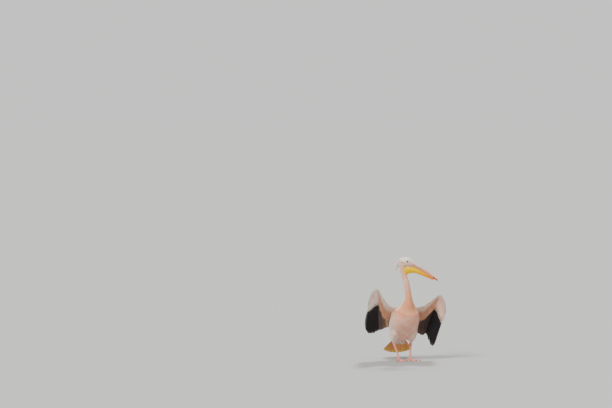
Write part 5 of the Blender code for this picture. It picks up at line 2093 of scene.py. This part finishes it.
@dataclass
class Leg:
    """One bare leg: the scaled shank, the webbed foot and its claws."""

    side: Side
    place: tuple[float, float]
    turn: float
    shank: Table  # height, x, y, half width, half depth
    spread: float = math.radians(37.0)
    middle_toe: float = 0.132
    toes: Table = ((-2.35, 0.46), (-0.78, 0.80), (0.0, 1.0), (0.84, 0.96))
    ridge: Table = (
        (0.0, 0.0175), (0.16, 0.0154), (0.42, 0.0142), (0.72, 0.0112), (0.93, 0.0090), (1.0, 0.0050),
    )
    toe_half: float = 0.0068
    web: float = 0.0027
    heel: float = 0.0172

    def world(self, angle: Any, reach: Any, height: Any) -> Array:
        """The place at an angle from straight ahead towards the outside, a distance out and a height."""
        x = np.sin(angle) * reach * self.side.value
        y = -np.cos(angle) * reach
        cosine, sine = math.cos(self.turn), math.sin(self.turn)
        return ORIGIN + joined(self.place[0] + x * cosine - y * sine, self.place[1] + x * sine + y * cosine, height)

    def outline(self, angle: Array) -> Array:
        """How far the foot reaches at each angle."""
        knots = []
        for k, (turn, length) in enumerate(self.toes):
            knots.append((turn * self.spread, length * self.middle_toe * 0.955))
            if k + 1 < len(self.toes):
                after, longer = self.toes[k + 1]
                knots.append(((turn + after) / 2 * self.spread, self.middle_toe * (length + longer) / 2 * 0.855))
        reach = through(knots, angle)[..., 0]
        first, last = knots[0][0], knots[-1][0]
        past = np.maximum(first - angle, angle - last)
        side = np.clip(self.toe_half / np.maximum(np.sin(np.clip(past, 1e-4, math.pi / 2)), 1e-4), self.heel, 1.0)
        reach = np.where(past > 0, np.minimum(reach, side), reach)
        for turn, length in self.toes:
            tip = length * self.middle_toe
            off = np.abs(np.sin(angle - turn * self.spread)) * tip / self.toe_half
            end = tip - self.toe_half * (1.0 - np.sqrt(np.clip(1.0 - off**2, 0.0, 1.0)))
            reach = np.where((off < 1.0) & (np.cos(angle - turn * self.spread) > 0), np.maximum(reach, end), reach)
        return reach

    def foot(self, finish: Material) -> None:
        """Makes the foot: toes with joints and cross plates, webs with slack folds, and a flat sole.

        Args:
            finish: Its material.
        """
        first, last = self.toes[0][0] * self.spread - 0.36, self.toes[-1][0] * self.spread + 0.36
        angle = np.concatenate([np.linspace(first, last, 290), np.linspace(last, first + 2 * math.pi, 34)[1:-1]])
        facing = (angle + math.pi) % (2 * math.pi) - math.pi
        reach = self.outline(np.where(facing < first, facing + 2 * math.pi, facing))
        share = np.concatenate([np.linspace(0.02, 0.9, 34), 1.0 - 0.1 * (1.0 - np.linspace(0, 1, 9)[1:]) ** 1.6])
        radius = share[:, None] * reach[None, :]
        turn = np.broadcast_to(angle[None, :], radius.shape)
        top = np.full(radius.shape, self.web)
        top += 0.00035 * np.sin(turn * 34) * ease(radius, 0.03, 0.08) * (1 - ease(share, 0.93, 1.0)[:, None])
        plates = scutes(np.sin(turn) * radius, np.cos(turn) * radius, 0.0044, 3.1)
        web_seam = 0.55 * (1.0 - plates)
        top += 0.00022 * (plates - 1.0)
        lump = top**6
        seam = web_seam
        for number, (toe, length) in enumerate(self.toes):
            tip = length * self.middle_toe
            out = radius * np.cos(turn - toe * self.spread)
            off = radius * np.sin(turn - toe * self.spread)
            at = np.clip(out / tip, 0.0, 1.0)
            joint = sum(bell(at, spot, 0.055) for spot in (0.36, 0.62, 0.84))
            half = self.toe_half * (1.06 - 0.16 * at + 0.10 * joint)
            dome = np.sqrt(np.clip(1.0 - (off / half) ** 2, 0.0, 1.0))
            dome *= np.sqrt(np.clip(1.0 - (np.maximum(out - tip + 0.008, 0.0) / 0.0095) ** 2, 0.0, 1.0))
            band = 0.5 + 0.5 * np.cos(out / 0.0031 * 2 * math.pi + 1.2 * (off / half) ** 2 + number)
            line = (band**6) * (dome > 0.25) * ease(at, 0.12, 0.25)
            height = through(self.ridge, at)[..., 0] * (1.0 + 0.07 * joint) - 0.00035 * line
            own = height * dome * (out > 0)
            lump = lump + own**6
            seam = np.where(own > top * 1.15, 0.75 * line, seam)
        hub = 0.0225 * bell(radius, 0.0, 0.0185) + 0.0040 * bell(radius, 0.0, 0.028)
        top = (lump + hub**6) ** (1 / 6)
        edge = ease(share, 0.955, 1.0)[:, None]
        top = top * (1.0 - 0.45 * edge)
        flush = 0.35 * bell(radius, 0.0, 0.03) + 0.10 * edge
        shape = Shape()
        maps = {"Form": joined(turn / (2 * math.pi), share[:, None])}
        marks = {"seam": seam.clip(0, 1), "flush": flush}
        shape.grid(self.world(turn, radius, top), maps, marks, around=True, flip=True)
        under = self.world(turn, radius, 0.0004 * ease(share, 0.97, 1.0)[:, None])
        shape.grid(under, maps, {"seam": web_seam, "flush": flush}, around=True)
        rows, size = radius.shape
        shape.rim(np.arange(size) + (rows - 1) * size, np.arange(size) + (2 * rows - 1) * size)
        shape.faces.append(np.arange(size)[None, :])
        shape.faces.append((np.arange(size) + rows * size)[None, ::-1])
        place(outward(shape.made(f"webbed_foot_{self.side.word}", finish)), "leg_skin", f"foot_{self.side.word}")

    def leg(self, finish: Material) -> None:
        """Makes the shank, with its heel joint and its plates.

        Args:
            finish: Its material.
        """
        height = np.linspace(0.0125, 0.214, 190)[:, None]
        x, y, wide, deep = np.moveaxis(through(self.shank, np.maximum(height, self.shank[0][0])), -1, 0)
        flare = 0.0035 * (1.0 - ease(height, 0.012, 0.034))
        turn = circle(84)
        behind = np.clip(np.sin(turn), 0, 1)
        knob = 0.0022 * bell(height, 0.168, 0.016) * behind
        ribs = 0.0010 * behind**3 * ease(height, 0.03, 0.06)
        plates = scutes(*np.broadcast_arrays((turn - math.pi) * 0.0125, height), 0.0040, 1.7)
        rise = 0.00032 * (plates - 1.0) + knob + ribs + flare
        spots = joined(x + (wide + rise) * np.cos(turn), y + (deep + rise) * np.sin(turn), height)
        flush = 0.40 * bell(height, 0.168, 0.02) + 0.25 * (1.0 - ease(height, 0.012, 0.04))
        maps = {"Form": joined(turn / (2 * math.pi), height / 0.22)}
        shape = Shape()
        shape.grid(spots + ORIGIN, maps, {"seam": 0.65 * (1.0 - plates), "flush": flush}, around=True, caps=True)
        place(outward(shape.made(f"scaled_shank_{self.side.word}", finish)), "leg_skin", f"shank_{self.side.word}")

    def claws(self, finish: Material) -> None:
        """Makes the four claws, each a tapering hook.

        Args:
            finish: Their material.
        """
        shape = Shape()
        share = 1.0 - (1.0 - np.linspace(0.0, 1.0, 16)) ** 1.3
        ring = circle(20)
        for toe, length in self.toes:
            angle = toe * self.spread
            size = 0.0046 * np.sqrt(np.clip(1.0 - share**1.7, 0.006, 1.0))
            out = self.middle_toe * length - 0.0035 + 0.0160 * share
            height = 0.0072 + 0.0018 * np.sin(math.pi * share) - 0.0052 * share**2
            aside = size[:, None] * 0.78 * np.cos(ring)
            tall = size[:, None] * np.sin(ring)
            points = self.world(
                angle + aside / out[:, None], out[:, None] - 0.35 * tall * share[:, None],
                np.maximum(height[:, None] + tall, 0.0003),
            )
            maps = joined((ring / (2 * math.pi) + 0.25) % 1.0, share[:, None])
            shape.grid(points, {"Form": maps}, around=True, caps=True)
        names = [f"claw_{self.side.word}_{number}" for number in range(1, 5)]
        place(outward(shape.made(f"claws_{self.side.word}", finish)), "claw_horn", *names)


LEGS = (
    Leg(
        Side.LEFT, (0.079, 0.045), math.radians(18.0),
        (
            (0.0223, 0.079, 0.045, 0.0125, 0.0150), (0.045, 0.080, 0.049, 0.0105, 0.0125),
            (0.100, 0.083, 0.060, 0.0105, 0.0130), (0.146, 0.086, 0.072, 0.0125, 0.0150),
            (0.170, 0.088, 0.078, 0.0160, 0.0200), (0.196, 0.090, 0.075, 0.0150, 0.0180),
        ),
    ),
    Leg(
        Side.RIGHT, (-0.062, 0.017), math.radians(10.0),
        (
            (0.0223, -0.062, 0.017, 0.0125, 0.0150), (0.045, -0.066, 0.023, 0.0105, 0.0125),
            (0.100, -0.079, 0.040, 0.0105, 0.0130), (0.146, -0.092, 0.056, 0.0125, 0.0150),
            (0.170, -0.100, 0.064, 0.0160, 0.0200), (0.196, -0.106, 0.065, 0.0150, 0.0180),
        ),
    ),
)


# ---- studio


@dataclass
class Studio:
    """An even pale floor that meets an equally pale dome, soft light, and the camera."""

    azimuth: float = math.radians(-13.0)
    elevation: float = math.radians(5.0)
    distance: float = 27.0
    lens: float = 139.0
    frame_middle: tuple[float, float] = (-1.129, 1.784)  # where the picture's middle lies, across and up
    radius: float = 250.0
    sky: str = "FBFBFA"
    horizon: float = 0.72
    zenith: float = 0.62
    suns: tuple[tuple[str, float, float, float, float], ...] = (
        # Name, azimuth and elevation in degrees, strength, and the sun's width in degrees.
        ("key", -48.0, 46.0, 2.0, 16.0),
        ("rim", 152.0, 52.0, 1.9, 12.0),
    )

    def build(self) -> None:
        """Makes the floor, the light and the camera."""
        scene = bpy.context.scene
        angle = circle(96)
        ring = np.stack([np.cos(angle), np.sin(angle), 0 * angle], axis=-1)
        shape = Shape()
        shape.grid(np.array([0.5, 8.0, self.radius])[:, None, None] * ring[None], around=True, flip=True)
        shape.faces.append(np.arange(len(angle))[None, :])
        shape.made("floor", FloorFinish().material())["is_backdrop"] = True
        self.room(scene)
        self.camera(scene)

    def room(self, scene: Scene) -> None:
        """Makes the dome, as bright at the horizon as the floor is, and the soft suns."""
        world = bpy.data.worlds.new("soft_dome")
        world.use_nodes = True
        tree = world.node_tree
        parts = add(tree, "SeparateXYZ", {0: add(tree, "TexCoord").outputs["Generated"]})
        level = {0: parts.outputs[2], 1: 0.05, 2: 1.0, 3: self.horizon, 4: self.zenith}
        level = add(tree, "MapRange", level, interpolation_type="SMOOTHSTEP")
        feed(tree, tree.nodes["Background"], {"Color": linear(self.sky), "Strength": level})
        scene.world = world
        scene.view_settings.look = "AgX - Medium High Contrast"
        for name, azimuth, elevation, strength, width in self.suns:
            light = bpy.data.lights.new(name, "SUN")
            light.energy = strength
            light.angle = math.radians(width)
            way = Vector(self.way(math.radians(azimuth), math.radians(elevation)))
            in_scene(name, light).rotation_euler = way.to_track_quat("Z", "Y").to_euler()

    @staticmethod
    def way(azimuth: float, elevation: float) -> Array:
        """The direction from the bird at an azimuth and an elevation."""
        flat = math.cos(elevation)
        return np.array([math.sin(azimuth) * flat, -math.cos(azimuth) * flat, math.sin(elevation)])

    def camera(self, scene: Scene) -> None:
        """Makes the camera and turns it so that the bird stands right of and below the picture's middle."""
        camera = bpy.data.cameras.new("camera")
        camera.lens = self.lens
        camera.clip_end = 600.0
        eye = in_scene("camera", camera)
        way = self.way(self.azimuth, self.elevation)
        right = np.array([math.cos(self.azimuth), math.sin(self.azimuth), 0.0])
        upward = np.cross(right, -way)
        low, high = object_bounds()
        middle = (np.array(low) + np.array(high)) / 2
        held = middle - ORIGIN
        aim = middle + right * (self.frame_middle[0] - held @ right) + upward * (self.frame_middle[1] - held @ upward)
        spot = middle + way * self.distance
        eye.location = Vector(spot)
        eye.rotation_euler = Vector(spot - aim).to_track_quat("Z", "Y").to_euler()
        scene.camera = eye


def main() -> None:
    """Builds the pelican, from the skin outwards, then the studio."""
    logging.basicConfig(level=logging.INFO, format="%(message)s")
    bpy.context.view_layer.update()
    skin = Skin().build()
    unwrap(skin)
    nodes = CoatNodes()
    white = PlumageFinish("vane_of_white_contour_feathers").material()
    for number, patch in enumerate(COAT):
        nodes.lay(patch, skin, white, SEED + number)
    place(skin, "plumage_white", *FLESH)

    black, grey, backlit_grey, coverts, backlit_tertials, backlit_tail = (finish.material() for finish in LONG_FEATHERS)
    for wing in WINGS.values():
        feathers = WingFeathers(wing)
        feathers.flight(Station.PRIMARIES, black, "flight_black")
        # The right wing's secondaries take the paler copy, painted as lit from behind.
        feathers.flight(Station.SECONDARIES, grey if wing.side is Side.LEFT else backlit_grey, "flight_grey")
        # The tertials' finish is painted backlit glow.
        feathers.flight(Station.TERTIALS, backlit_tertials, "plumage_white")
        feathers.great_coverts(coverts)
        feathers.small_coverts(nodes, white)
    Mantle().build(nodes, white, skin)
    # The tail feathers' orange finish is painted glow of light through them.
    Tail().build(backlit_tail, coverts, skin)

    Beak().build()
    Crest().build(coverts)
    face = SkinFinish("bare_face_skin").material()
    ground = BVHTree.FromObject(skin, bpy.context.evaluated_depsgraph_get())
    wet = EyeFinish().material()
    for side in Side:
        eye = Eye(side)
        eye.ball(wet)
        eye.lids(face, ground)
    scaled = LegFinish().material()
    claw = KeratinFinish("dark_horn_claws", "3A2C28", "241A18", "5A4238", "1A1210").material()
    for leg in LEGS:
        leg.foot(scaled)
        leg.leg(scaled)
        leg.claws(claw)

    Studio().build()


if __name__ == "__main__":
    main()
